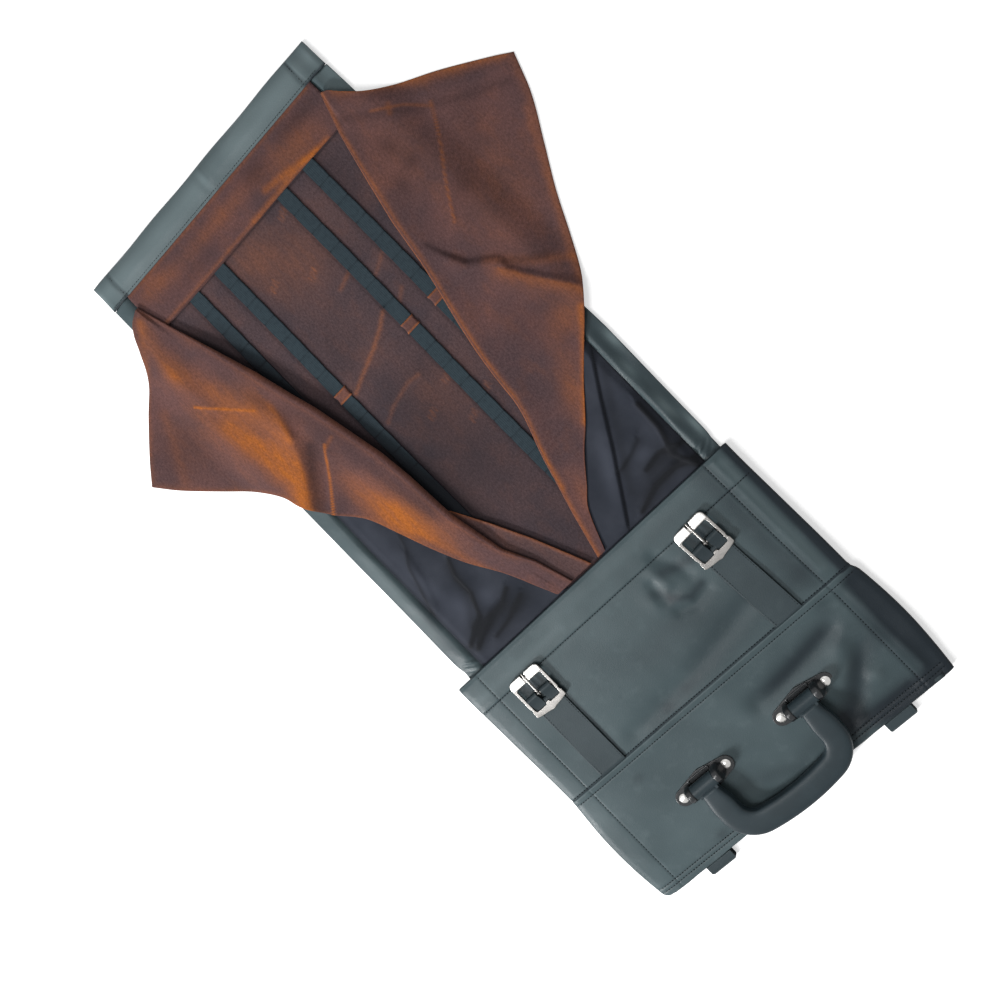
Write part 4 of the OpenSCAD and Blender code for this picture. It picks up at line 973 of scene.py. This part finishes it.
def wing_sheet(side, name):
    """A turned wing from its folded edge over the roll to its outline, and its area in m2."""
    ends, roots = edge_rows(side)
    root = roots[:, None]
    inner = np.interp(root, *np.array(WING_FOLD[side]).T)
    cy, ey = down_y(root), down_y(ends[:, :1])
    cx, ex = crease_x(side, cy) + bow(side, cy), crease_x(side, ey) + side * ends[:, 1:]
    reach = np.hypot(ex - cx, ey - cy)
    total = inner + reach
    r = np.minimum(roll_radius(side, root), total * 0.22)
    ones = np.ones_like(cx)

    def spot(s):
        """Plan point s mm from the folded edge: across to the crease, then on to the outline."""
        before, after = s / np.maximum(inner, 1e-6), (s - inner) / np.maximum(reach, 1e-6)
        px = np.where(s < inner, cx - side * inner * (1 - before), cx + (ex - cx) * after)
        return px, np.where(s < inner, cy, cy + (ey - cy) * after)

    arcs = np.radians(np.linspace(-90, 90, 12))[None, :]
    share = np.concatenate([np.linspace(0, 0.22, 18)[1:], np.linspace(0.22, 1, 56)[1:]])[None, :]
    s0, s1, s2 = np.minimum(2.2 * r + 1.0, total * 0.5), r * (1 - np.cos(arcs)), r + (total - r) * share
    (x0, y0), (x1, y1), (x2, y2) = spot(s0), spot(s1), spot(s2)
    v = np.clip((s2 - inner) / np.maximum(reach, 1e-6), 0, 1)
    low, rest, bench = 9.1, WING_Z + 0.95, 1.3
    crown = low + 1.9 * r + 0.1
    past = side * (x2 - shell_x(side, y2))
    z1 = low + r * (1 + np.sin(arcs)) * 0.95 + 0.1
    z2 = rest + (crown - rest) * bell(s2 - r, 6.0 + 5.5 * r) + (bench - rest) * smooth(past / 38.0)
    z2 = np.maximum(z2 + wing_relief(side, x2, y2, v, root), 1.1)
    # wear and painted highlight along the roll's crest and upper side; painted shade under the roll and on
    # the tucked first row
    rim_wear_and_highlight, roll_wear_and_highlight = (0.5, 0.6) if side > 0 else (0.15, 0.22)
    w2, d2 = wing_marks(side, x2, y2, v)
    w2 = w2 + rim_wear_and_highlight * bell(s2 - r, 3.5)
    w1 = roll_wear_and_highlight * bell(arcs - 0.4, 0.9) * ones
    d1 = np.where(arcs < -0.5, 0.5, 0.0) * ones
    g = np.stack([np.hstack([x0, x1, x2]), np.hstack([y0, y1, y2]), np.hstack([low * ones, z1, z2])], 2)
    marks = tints(np.hstack([0 * ones, w1, w2]), np.hstack([0.6 * ones, d1, d2]))
    piece = sheet_piece(name, g, 0.85, [BROWN, BLACK, BROWN], marks, 0.4)
    a, b, c, d = g[:-1, :-1], g[1:, :-1], g[1:, 1:], g[:-1, 1:]
    area = sum(np.linalg.norm(np.cross(p - a, q - a), axis=2).sum() for p, q in ((b, c), (c, d))) / 2
    return piece, area * 1e-6


for side, tag in SIDES:
    wing, area = wing_sheet(side, "wing_%s_cloth" % tag)
    low = np.array([float(crease_x(side, DISPLAY_Y)), DISPLAY_Y])
    high = np.array([float(crease_x(side, WING_TOP)), WING_TOP])
    d = (high - low) / np.linalg.norm(high - low)
    out = np.array([d[1], -d[0]]) * side
    dress(wing, "brown_cloth", "wing_" + tag, "wing_fold_" + tag,
          between=("display", "wing_flap_" + tag, at(*(low - out * 2.5), 10), at(*(low + out * 3.5), 10)))

# lower lap of the left wing, seen past its folded edge
root = np.linspace(0.72, 1.0, 40)[:, None]
reach = np.interp(root, *np.array(LEFT_LAP).T, left=1.0)
inner = np.interp(root, *np.array(WING_FOLD[-1]).T)
u = np.linspace(0, 1, 14)[None, :]
a = crease_x(-1, down_y(root)) + np.minimum(inner, reach) - 4
width = crease_x(-1, down_y(root)) + reach - a
g = grid(a + width * u, down_y(root), 8.2 + 1.3 * u ** 2 * smooth((root - 0.72) * 8))
# painted highlight along the lap's folded edge and painted shade inwards from it; its top takes the darker
# panel cotton as painted shade
marks = tints(0.6 * bell((1 - u) * width, 2.2) + 0.12, 0.28 * (1 - u) + 0 * root)
lap = sheet_piece("wing_lap_left", g, 0.8, [BROWN_DARK, BLACK, BROWN], marks, 0.4)
dress(lap, "brown_cloth", body="display")

# lower plies of the wings: black face up, on from the display into the back
PLY_CREASES = {
    -1: [(1.7, [(-92, 400), (-100, 381), (-100, 360), (-110, 338), (-140, 322)]),
         (2.0, [(-70, 340), (-84, 332), (-101, 331), (-118, 324), (-134, 316)]),
         (1.3, [(-64, 326), (-90, 316), (-112, 312)]),
         (1.0, [(-106, 470), (-116, 436), (-128, 420), (-136, 395), (-146, 370)])],
    1: [(2.0, [(146, 380), (145, 350), (137, 322), (147, 300)]),
        (1.8, [(155, 306), (130, 314), (104, 313), (78, 304)]), (1.0, [(91, 346), (108, 350), (122, 356)]),
        (1.4, [(108, 330), (128, 334), (150, 326)])]}
PLY_FOLD = {
    -1: (0.8, 3, 6, 1.2, [(-122, 430), (-128, 400), (-138, 372)]),
    1: (2.5, 0.7, 12, 0.3, [(152, 447), (124, 404), (99, 363), (72, 322), (56, 298)])}
PLY_WEAR_AND_HIGHLIGHT = {
    -1: [(0.5, -118, 352, 12, 18, 10), (0.35, -92, 345, 10, 10), (0.35, -130, 395, 7, 24, 10)],
    1: [(0.35, 84, 352, 8, 36, -30), (0.35, 116, 340, 12, 8, -20)]}
PLY_SHADE = {
    -1: [(0.6, -112, 325, 24, 9), (0.5, -74, 318, 20, 10), (0.4, 6, [(-100, 392), (-104, 362), (-124, 332)])],
    1: [(0.55, 126, 322, 20, 12), (0.4, 96, 312, 22, 8),
        (0.35, 5, [(148, 424), (128, 392), (108, 360), (84, 322)]),
        (0.9, 1.0, [(153.4, 446), (125.4, 403), (100.4, 362), (73.4, 321), (57.4, 297)])]}
ys = np.unique(np.concatenate([rows(14.0, 282.0, 8.0), rows(282.0, 480.0, 1.7),
                               rows(480.0, WING_TOP - 1, 6.0)]))
us = np.concatenate([np.linspace(0, 0.1, 8), np.linspace(0.1, 1, 84)[1:]])
for side, tag in SIDES:
    Y, U = np.meshgrid(ys, us, indexing="ij")
    t = smooth((DISPLAY_Y - Y) / 10.0)
    tail = (crease_x(side, DISPLAY_Y) + side * 0.5) * (1 - t) - side * 12.0 * t
    inner = np.where(Y > DISPLAY_Y, crease_x(side, Y) + side * 0.5 + bow(side, Y), tail)
    outer = seam_x(side, Y) + side * 0.5
    X = outer + (inner - outer) * U
    into, roof = np.abs(X - outer), np.abs(X - inner)
    fold, crease_shade = [PLY_FOLD[side]], []
    for high, path in PLY_CREASES[side]:
        fold.append((high, 9, 1.6, 0.5, path))
        crease_shade += [(0.5 * high, 2.4, moved(path, 1.2 * side, -2.8)),
                 (0.22 * high, 6, moved(path, 1.2 * side, -5))]
    open_air = smooth((Y - 296) / 8.0)
    Z = 6.0 + (8.45 * (1 - t) + (6.9 if side < 0 else 7.9) * t - 6.0) * smooth(into / 9.0)
    Z += 1.3 * painted(X, Y, fold) * open_air * smooth(into / 8) * smooth((roof - 3) / 12)
    Z += np.maximum(0.3 * ripple(X, Y, 60, 51), -0.1) * open_air * smooth(into / 10)
    # painted highlights in a band and in patches; painted shade along the hem's edge, beside the creases and
    # along the right fold
    wear_and_highlight = 0.15 * bell(into - 14, 8) * open_air + painted(X, Y, PLY_WEAR_AND_HIGHLIGHT[side])
    shade = 0.5 * bell(into, 2.0) + painted(X, Y, crease_shade + PLY_SHADE[side])
    ply = sheet_piece("wing_under_%s_cloth" % tag, grid(X, Y, Z), 0.7, [BLACK, BROWN_DARK, BLACK],
                      tints(wear_and_highlight, shade), 0.3)
    dress(ply, "black_cloth", "wing_under_" + tag, "wing_tail_" + tag, between=CROSS_FOLD)
    width = np.abs(inner - outer).mean(axis=1)
    area = float(np.sum((width[1:] + width[:-1]) / 2 * np.diff(ys))) * 1e-6

# ---------------------------------------------------------------- straps
LEAN = math.radians(3.8)                          # of the right strap
STRAP_Z, BAR_Z, BAR_Y = 13.8, 18.0, 104.0
STRAP_HALF, GAP_HALF = 15.6, 2.9                  # half widths of the strap and of the prong's gap


def strap_frame(side, y0=0.0, z0=0.0):
    """Places points of a buckle strap: x across it, y along it from the seam, z up."""
    ox, turn = (-120.0, 0.0) if side < 0 else (110.0, LEAN)
    c, s = math.cos(turn), math.sin(turn)
    return lambda x, y, z: [ox + x * c - (y + y0) * s, 137.0 + x * s + (y + y0) * c, z + z0]


def ribbon(name, path, x0, x1, thick, put, shade=0.0, steps=9):
    """A strap along a centre path of (y, z), from x0 to x1, with rounded edges in painted shade."""
    path = np.asarray(path, float)
    half = thick / 2
    us = np.concatenate([[x0, x0 + 0.35], np.linspace(x0 + 0.9, x1 - 0.9, steps - 4), [x1 - 0.35, x1]])
    ring = [(u, half) for u in us] + [(x1 + half * 0.45, 0.0)]
    ring += [(u, -half) for u in us[::-1]] + [(x0 - half * 0.45, 0.0)]
    g = [[put(u, y - tz * h, z + ty * h) for u, h in ring]
         for (y, z), (ty, tz) in zip(path, directions(path))]
    m = len(ring)
    edge = np.isin(np.arange(m), (steps - 1, steps, m - 2, m - 1)).astype(int)
    kinds = np.concatenate([np.tile(edge, len(path) - 1), [1, 1]])
    marks = {"shade": np.full(m * len(path), shade)}
    return lofted(name, g, [VINYL_EDGE, EDGE_PAINTED_SHADE], marks, closed=True, face_mats=kinds)


for side, tag in SIDES:
    put = strap_frame(side)
    z = STRAP_Z + 1.0
    low_y, skew = (-0.5, 0.0) if side < 0 else (-1.6, math.tan(LEAN))
    run = [(y, z + 0.25 * math.sin(y / 19.0) * smooth(y / 20.0) * smooth((96 - y) / 20.0))
           for y in np.linspace(low_y, 96.8, 34)]
    main = ribbon("strap_%s_vinyl" % tag, run, -STRAP_HALF, STRAP_HALF, 1.9,
                  lambda x, y, z: put(x, max(y, -0.5 - skew * x), z))
    dress(main, "vinyl", "buckle_strap_" + tag, body="strap_" + tag)
    wrap = 2.5
    run = [(95.5, z)] + [(y, z) for y in np.linspace(97, 101.5, 4)]
    run += [(BAR_Y + wrap * math.sin(a), BAR_Z - wrap * math.cos(a))
            for a in np.radians(np.linspace(8, 200, 18))]
    run = curve_through(run + [(99.5, 18.6), (96, 17.5), (92.5, 16.9), (89, 16.75)], 46)
    for half, x0, x1 in (("a", -STRAP_HALF, -GAP_HALF), ("b", GAP_HALF, STRAP_HALF)):
        # the loops round the bar and the strap's end carry painted shade
        loop = ribbon("strap_%s_loop_%s" % (tag, half), run, x0, x1, 1.8, put, 0.4, 5)
        dress(loop, "vinyl", body="strap_" + tag)
    end = ribbon("strap_%s_end" % tag, [(y, 16.72) for y in np.linspace(86.5, 97.0, 5)], -15.4, 15.4, 1.7,
                 put, 0.5)
    dress(end, "vinyl", body="strap_" + tag)
    runs = [[put(x, y, z + 1.0) for y in np.linspace(1.5, 84, 25)] for x in (-14.2, 14.2)]
    runs += [[put(x, 88.6, 17.7) for x in np.linspace(-12, 12, 8)]]
    add_stitches("strap_%s_stitches" % tag, runs, THREAD, "strap_" + tag, size=(2.1, 0.45, 0.25))


# ---------------------------------------------------------------- buckles
def rounded(points, radii, steps=6):
    """Outline with its corners rounded."""
    p = [np.array(q, float) for q in points]
    out = []
    for i, (b, r) in enumerate(zip(p, radii)):
        u, v = (q / np.linalg.norm(q) for q in (p[i - 1] - b, p[(i + 1) % len(p)] - b))
        angle = math.acos(max(-1, min(1, float(u @ v))))
        if r <= 0 or angle > 3.1:
            out.append(b)
            continue
        reach = r / math.tan(angle / 2)
        centre = b + (u + v) / np.linalg.norm(u + v) * r / math.sin(angle / 2)
        a0, a1 = (math.atan2(*(b + w * reach - centre)[::-1]) for w in (u, v))
        turn = (a1 - a0 + math.pi) % (2 * math.pi) - math.pi
        out += [centre + r * np.array([math.cos(a0 + turn * t), math.sin(a0 + turn * t)])
                for t in np.linspace(0, 1, steps)]
    return np.array(out)


def plate_mesh(name, outlines, z0, z1, put, mats, bevel=0.5, segments=3):
    """Extruded outline with holes and bevelled edges. mats: faces, walls."""
    bm = bmesh.new()
    edges = []
    for outline in outlines:
        kept = [outline[0]]
        for q in outline[1:]:
            if math.dist(q, kept[-1]) > bevel * 1.1:
                kept.append(q)
        if math.dist(kept[-1], kept[0]) < bevel * 1.1:
            kept.pop()
        vs = [bm.verts.new((q[0], q[1], z0)) for q in kept]
        edges += [bm.edges.new((a, b)) for a, b in zip(vs, vs[1:] + vs[:1])]
    bmesh.ops.triangle_fill(bm, use_beauty=True, use_dissolve=False, edges=edges)
    bmesh.ops.dissolve_limit(bm, angle_limit=0.01, verts=bm.verts, edges=bm.edges)
    made = bmesh.ops.extrude_face_region(bm, geom=bm.faces[:])["geom"]
    bmesh.ops.translate(bm, vec=(0, 0, z1 - z0), verts=[g for g in made if isinstance(g, bmesh.types.BMVert)])
    bmesh.ops.recalc_face_normals(bm, faces=bm.faces)
    sharp = [e for e in bm.edges if len(e.link_faces) == 2 and e.calc_face_angle(0) > math.radians(50)]
    bmesh.ops.bevel(bm, geom=sharp, offset=bevel, segments=segments, profile=0.5, affect="EDGES",
                    clamp_overlap=True)
    bmesh.ops.triangulate(bm, faces=[f for f in bm.faces if len(f.verts) > 4])
    for v in bm.verts:
        v.co = Vector(at(*put(*v.co)))
    bmesh.ops.recalc_face_normals(bm, faces=bm.faces)
    mesh = bpy.data.meshes.new(name)
    bm.to_mesh(mesh)
    bm.free()
    for m in mats:
        mesh.materials.append(m)
    mesh.polygons.foreach_set("use_smooth", [True] * len(mesh.polygons))
    mesh.update()
    for p in mesh.polygons:
        p.material_index = int(len(mats) > 1 and abs(p.normal.z) < 0.6)
    piece = add_object(name, mesh)
    piece.modifiers.new("even", "WEIGHTED_NORMAL")
    return piece


def tube(name, path, radius, put, sides=16, caps=True):
    """Round plated bar along a path; its radius may vary."""
    path = np.asarray(path, float)
    tangents = directions(path)
    across_bar = np.array([1.0, 0, 0]) if abs(tangents[0][0]) < 0.9 else np.array([0, 0, 1.0])
    g = []
    for p, t, r in zip(path, tangents, np.broadcast_to(radius, len(path))):
        a = across_bar - t * (across_bar @ t)
        a /= np.linalg.norm(a)
        b = np.cross(t, a)
        g.append([put(*(p + r * (a * math.cos(w) + b * math.sin(w))))
                  for w in np.arange(sides) * (2 * math.pi / sides)])
    return lofted(name, g, [CHROME], closed=True, caps=caps)


IN, OUT = 16.3, 19.4                              # half widths of a buckle's window and frame
LOW, HIGH, BLOCK_Y = -20.5, 25.5, 15.9            # ends of the frame from its bar, foot of the blocks
TONGUE = [(1.6, 1.5), (4, 1.75), (8, 1.75), (13, 1.5), (17, 1.3), (21, 1.25), (24, 1.2), (25.6, 1.1),
          (26.2, 0.95)]
TONGUE_R = [1.35, 1.35, 1.3, 1.25, 1.2, 1.15, 1.1, 0.9, 0.4]


def mirrored(points):
    """Right half of an outline from its left half."""
    return [(-x, y) for x, y in points[::-1]]


left_side = [(-OUT, HIGH), (-OUT, -6.6), (-OUT + 0.8, -7.6), (-OUT + 0.8, -10.2), (-OUT - 0.3, -11.2),
             (-OUT - 0.3, LOW + 2.8)]
foot = [(x, LOW + 2.4 * (x / OUT) ** 2 - 1.2 * bell(x, 3.2)) for x in np.linspace(-OUT + 1.2, OUT - 1.2, 11)]
slot = [(2.3, HIGH), (2.3, HIGH - 4.4), (-2.3, HIGH - 4.4), (-2.3, HIGH)]
side_radii = [5.4, 0.5, 0.5, 0.5, 0.5, 1.2]
frame_outline = rounded(left_side + foot + mirrored(left_side) + slot,
                        side_radii + [0] * len(foot) + side_radii[::-1] + [0.8] * 4)
half_window = [(-IN, 15.5), (-IN, -11.0), (-IN + 0.9, -13.4), (-3.0, -13.6), (-1.9, -11.3)]
window_radii = [2.2, 0.8, 1.4, 0.6, 1.2]
window_outline = rounded(half_window + mirrored(half_window), window_radii + window_radii[::-1])
for side, tag in SIDES:
    put = strap_frame(side, BAR_Y, BAR_Z)
    ring = plate_mesh("buckle_%s_frame" % tag, [frame_outline, window_outline], -1.5, 1.3, put,
                      [CHROME, CHROME_PAINTED_DARK], 0.45)
    dress(ring, "bright_metal", "buckle_frame_" + tag, body="buckle_" + tag)
    # raised blocks of the top bar, on both sides of the prong's notch
    for half, x0, x1, radii in (("a", -OUT + 0.5, -2.4, [4.6, 0.8, 0.8, 1.0]),
                                ("b", 2.4, OUT - 0.5, [1.0, 0.8, 0.8, 4.6])):
        outline = rounded([(x0, HIGH - 0.4), (x0, BLOCK_Y), (x1, BLOCK_Y), (x1, HIGH - 0.4)], radii)
        block = plate_mesh("buckle_%s_block_%s" % (tag, half), [outline], 0.6, 2.0, put,
                           [CHROME_PAINTED_BRIGHT, CHROME_PAINTED_DARK], 0.6)
        dress(block, "bright_metal", body="buckle_" + tag)
    rail = tube("buckle_%s_bar" % tag, [(x, 0, 0) for x in np.linspace(-IN - 0.6, IN + 0.6, 5)], 1.45, put)
    dress(rail, "bright_metal", "buckle_bar_" + tag, body="buckle_" + tag)
    prong = tube("prong_%s_tongue" % tag, curve_through([(0, y, z) for y, z in TONGUE], 26),
                 np.interp(np.linspace(0, 8, 26), range(9), TONGUE_R), put)
    dress(prong, "bright_metal", "prong_" + tag, body="prong_swing_" + tag)
    turn = [(0, 2.35 * math.sin(a), 2.35 * math.cos(a)) for a in np.linspace(0, 2 * math.pi, 29)]
    dress(tube("prong_%s_eye" % tag, turn, 0.78, put, 12, False), "bright_metal", body="prong_swing_" + tag)

# ---------------------------------------------------------------- handle
HX, HY, PIN_Z, PLATE_Z = 0.5, 68.5, 23.5, 13.5
GRIP_W, GRIP_T, REACH, CORNER_R, BOW_R, HALF_PITCH = 27.0, 13.6, 80.0, 26.0, 250.0, 63.5
GRIP_SIDES = 36
tuck = HALF_PITCH - CORNER_R
bow_y = BOW_R - (REACH - GRIP_W / 2)
swing = math.degrees(math.asin(tuck / (BOW_R - CORNER_R)))
corner_y = bow_y - (BOW_R - CORNER_R) * math.cos(math.radians(swing))


def arc_run(x, y, r, a0, a1, steps):
    """Points of an arc in plan, each with its angle in degrees."""
    return [(x + r * math.cos(math.radians(a)), y + r * math.sin(math.radians(a)), a)
            for a in np.linspace(a0, a1, steps + 1)]


def signed_power(v, power):
    return math.copysign(abs(v) ** power, v)


track = [(-HALF_PITCH, y, 180.0) for y in np.linspace(-6.0, corner_y + 1.5, 10)]
track += arc_run(-tuck, corner_y, CORNER_R, 180, 270 - swing, 18)
track += arc_run(0, bow_y, BOW_R, 270 - swing, 270 + swing, 26)[1:]
track += arc_run(tuck, corner_y, CORNER_R, 270 + swing, 360, 18)[1:]
track += [(HALF_PITCH, y, 360.0) for y in np.linspace(corner_y + 1.5, -6.0, 10)]
grip_rings = []
for i, (x, y, a) in enumerate(track):
    narrow = float(smooth(1 - min(i, len(track) - 1 - i) / 7.0))
    ring = []
    for w in (np.arange(GRIP_SIDES) + 0.5) * (2 * math.pi / GRIP_SIDES):
        o = signed_power(math.cos(w), 0.54) * (GRIP_W - 0.6) * (1 - 0.22 * narrow) / 2
        z = signed_power(math.sin(w), 0.54) * GRIP_T * (1 - 0.08 * narrow) / 2
        # moulded parting lip round the grip; the finger side is a little hollow
        lip = 0.55 * bell(z, 0.9)
        o += lip if o > 0 else 0.5 * bell(z - 3.2, 1.3) - 0.6 * lip
        ring.append([HX + x + o * math.cos(math.radians(a)), HY + y + o * math.sin(math.radians(a)),
                     PIN_Z + z])
    grip_rings.append(ring)
dress(lofted("grip_moulding", grip_rings, [GRIP], closed=True), "black_moulding", "handle_grip",
      body="handle")

for name, mat in (("grip_barrels", GRIP), ("handle_pin_left", BLACK_METAL), ("handle_pin_right", BLACK_METAL),
                  ("rivet_washers", BLACK_METAL)):
    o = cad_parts[name]
    o.data.materials.clear()
    o.data.materials.append(mat)

COLLAR_U = [13.8, 14.6, 18.6, 19.6, 21.0, 22.6, 24.4, 26.0]
COLLAR_TOP = [18.2, 18.9, 18.9, 18.2, 15.2, 8.2, 3.4, 1.9]
COLLAR_HALF = [8.3, 8.9, 8.9, 8.6, 7.6, 6.2, 4.6, 3.0]
COLLAR_STATIONS = [13.8, 14.0, 14.6, 16.0, 17.4, 18.6, 19.2, 19.7, 20.3, 21.0, 21.8, 22.6, 23.5, 24.4, 25.2,
                   26.0]
COLLAR_FOOT = 1.4


def collar_section(u):
    """Arch over the barrel, u mm from the bracket's middle, sloping down to the rivet outside."""
    top, half = np.interp(u, COLLAR_U, COLLAR_TOP), np.interp(u, COLLAR_U, COLLAR_HALF)
    return [(half * signed_power(math.cos(a), 0.8),
             COLLAR_FOOT + (top - COLLAR_FOOT) * max(math.sin(a), 0) ** 0.85)
            for a in np.linspace(0, math.pi, 26)]


PLATE_R, LOBE_R, LOBE_X = 14.0, 9.0, 27.0
lean = math.degrees(math.acos((PLATE_R - LOBE_R) / LOBE_X))
plate_outline = arc_run(LOBE_X, 0, LOBE_R, -lean, lean, 14) + arc_run(0, 0, PLATE_R, lean, 180 - lean, 10)
plate_outline += arc_run(-LOBE_X, 0, LOBE_R, 180 - lean, 180 + lean, 14)
plate_outline += arc_run(0, 0, PLATE_R, 180 + lean, 360 - lean, 10)
plate_outline = [p[:2] for p in plate_outline]
rim_outlines = [rounded([(-x, low), (x, low), (x, high), (-x, high)], [r] * 4)
                for x, low, high, r in ((13.4, 2.5, 11.6, 1.5), (11.6, 3.2, 10.2, 1.0))]
for side, tag in SIDES:
    put = lambda x, y, z: [HX + side * HALF_PITCH + x, HY + y, PLATE_Z + z]
    plate = plate_mesh("bracket_%s_plate" % tag, [plate_outline], 0.0, 1.75, put, [BLACK_METAL], 0.6)
    dress(plate, "black_metal", "handle_bracket_" + tag, body="spine")
    rim = plate_mesh("bracket_%s_rim" % tag, rim_outlines, 1.5, 3.4, put, [BLACK_METAL], 0.5)
    dress(rim, "black_metal", body="spine")
    for end, part in ((-1, "a"), (1, "b")):
        g = [[put(end * u, *p) for p in collar_section(u)] for u in COLLAR_STATIONS]
        collar = lofted("bracket_%s_collar_%s" % (tag, part), g, [BLACK_METAL], base=True)
        dress(collar, "black_metal", body="spine")

DOME_R, DOME_H, DOME_Z, DOME_RINGS, DOME_SIDES = 5.3, 1.9, 15.25, 8, 40
ball = (DOME_R ** 2 + DOME_H ** 2) / (2 * DOME_H)
verts, faces = [], []
for cx in (HX + s * HALF_PITCH + e * 27.5 for s in (-1, 1) for e in (-1, 1)):
    top = len(verts)
    verts.append([cx, HY, DOME_Z + DOME_H])
    for a in math.asin(DOME_R / ball) * np.arange(1, DOME_RINGS + 1) / DOME_RINGS:
        r, z = ball * math.sin(a), DOME_Z + max(DOME_H - ball * (1 - math.cos(a)), 0)
        verts += [[cx + r * math.cos(t), HY + r * math.sin(t), z]
                  for t in np.arange(DOME_SIDES) * (2 * math.pi / DOME_SIDES)]
    faces += [(top, top + 1 + k, top + 1 + (k + 1) % DOME_SIDES) for k in range(DOME_SIDES)]
    faces += list(grid_faces(DOME_RINGS, DOME_SIDES, closed=True, first=top + 1))
    faces.append(range(len(verts) - 1, len(verts) - 1 - DOME_SIDES, -1))
domes = mesh_piece("rivet_domes", verts, faces, [CHROME_PAINTED_BRIGHT])
dress(domes, "bright_metal", "bracket_rivets", body="spine")

# ---------------------------------------------------------------- billet straps
CURL_R, BILLET_HALF, TIP_Y, HOLE_R, HOLE_PITCH = 4.8, 15.8, 612.4, 2.2, 25
curl = [(CURL_R - 12.6 + (CURL_R - 1.0) * math.cos(a), CURL_R + (CURL_R - 1.0) * math.sin(a))
        for a in np.radians(np.linspace(90, 270, 16))]
billet_path = [(-1.0, 2 * CURL_R - 1.0), (-4.0, 2 * CURL_R - 1.0)] + curl
billet_path = list(curve_through(billet_path + [(0.0, 1.0), (8.0, 1.0), (20.0, 1.0)], 40))
billet_path += [(y, 1.0) for y in list(np.arange(26, 262, 12)) + list(np.linspace(266, 298.6, 14))]
tip = [(BILLET_HALF, TIP_Y), (4.0, 628.2)]
billet_outlines = [rounded([(-BILLET_HALF, 299.0), (BILLET_HALF, 299.0)] + tip + mirrored(tip),
                           [0.5, 0.5, 5, 3, 3, 5])]
billet_outlines += [np.array([(HOLE_R * math.cos(a), TIP_Y - q * HOLE_PITCH + HOLE_R * math.sin(a))
                              for a in np.linspace(0, 2 * math.pi, 21)[:-1]]) for q in range(1, 7)]
for centre, tag, round_r in ((-112.0, "left", 4.2), (117.0, "right", 2.4)):
    def straight(x, y, z):
        """A billet's own frame; its curled end has rounded corners."""
        past = min(round_r, max(0.0, round_r - 12.5 - y))
        return [centre + x * (1 - (round_r - math.sqrt(round_r ** 2 - past ** 2)) / 15.5), y, z]

    strap = ribbon("billet_%s_vinyl" % tag, billet_path, -15.5, 15.5, 1.9, straight)
    dress(strap, "vinyl", "billet_strap_" + tag,
          between=("case_back", "display", at(0, 284, 1), at(0, 298.4, 1)))
    free = plate_mesh("billet_%s_free" % tag, billet_outlines, 0.05, 1.95, straight, [VINYL_EDGE], 0.4, 2)
    dress(free, "vinyl", "billet_end_" + tag, body="billet_" + tag)

# ---------------------------------------------------------------- camera, light, floor
# The camera looks along the third row; the second points down in its picture.
ROWS = ((0.6856539, -0.7005046, -0.1979194), (-0.6694507, -0.7135904, 0.2064572),
        (-0.2858576, -0.0090609, -0.9582293))
camera_data = bpy.data.cameras.new("camera")
camera_data.sensor_width, camera_data.lens = 36.0, 46.8
camera_data.clip_start, camera_data.clip_end = 0.05, 50
camera = add_object("camera", camera_data)
right, up, back = Vector(ROWS[0]), -Vector(ROWS[1]), -Vector(ROWS[2])
where = Vector(at(344.3, 414.1, 1207.9))
camera.matrix_world = Matrix((*zip(right, up, back, where), (0, 0, 0, 1)))
bpy.context.scene.camera = camera

for name, place, size, energy in (("key", (-1.95, -0.55, 1.25), (0.34, 0.34), 60),
                                  ("gloss", (-0.9, -0.05, 2.0), (0.5, 1.0), 21),
                                  ("fill", (1.2, 1.4, 2.2), (2.0, 2.0), 6)):
    data = bpy.data.lights.new(name, "AREA")
    data.shape, data.energy = "RECTANGLE", energy
    data.size, data.size_y = size
    light = add_object(name, data)
    light.location = place
    light.rotation_euler = (-Vector(place)).to_track_quat("-Z", "Y").to_euler()

WORLD_LIGHT, FLOOR_GLOW, FLOOR_HALF, FLOOR_Z = 0.27, 0.5, 6, -0.0006
world = bpy.data.worlds.new("studio")
bpy.context.scene.world = world
studio = Tree(world)
studio.feed(studio.nodes["Background"],
            {"Color": (1, 1, 1), "Strength": studio.span(studio.seen(), 0, 1, WORLD_LIGHT, 1.0)})
ground = look("floor")
ground.surface({"Base Color": (0.9, 0.9, 0.9), "Roughness": 0.95, "Specular IOR Level": 0.0,
                "Emission Color": (1, 1, 1), "Emission Strength": ground.maths("MULTIPLY", ground.seen(),
                                                                               FLOOR_GLOW)})
floor_mesh = bpy.data.meshes.new("floor")
corners = [(x * FLOOR_HALF, y * FLOOR_HALF, FLOOR_Z) for x, y in ((-1, -1), (1, -1), (1, 1), (-1, 1))]
floor_mesh.from_pydata(corners, [], [(0, 1, 2, 3)])
floor_mesh.materials.append(ground.owner)
floor = add_object("floor", floor_mesh)
bpy.context.scene.view_settings.view_transform = "Standard"
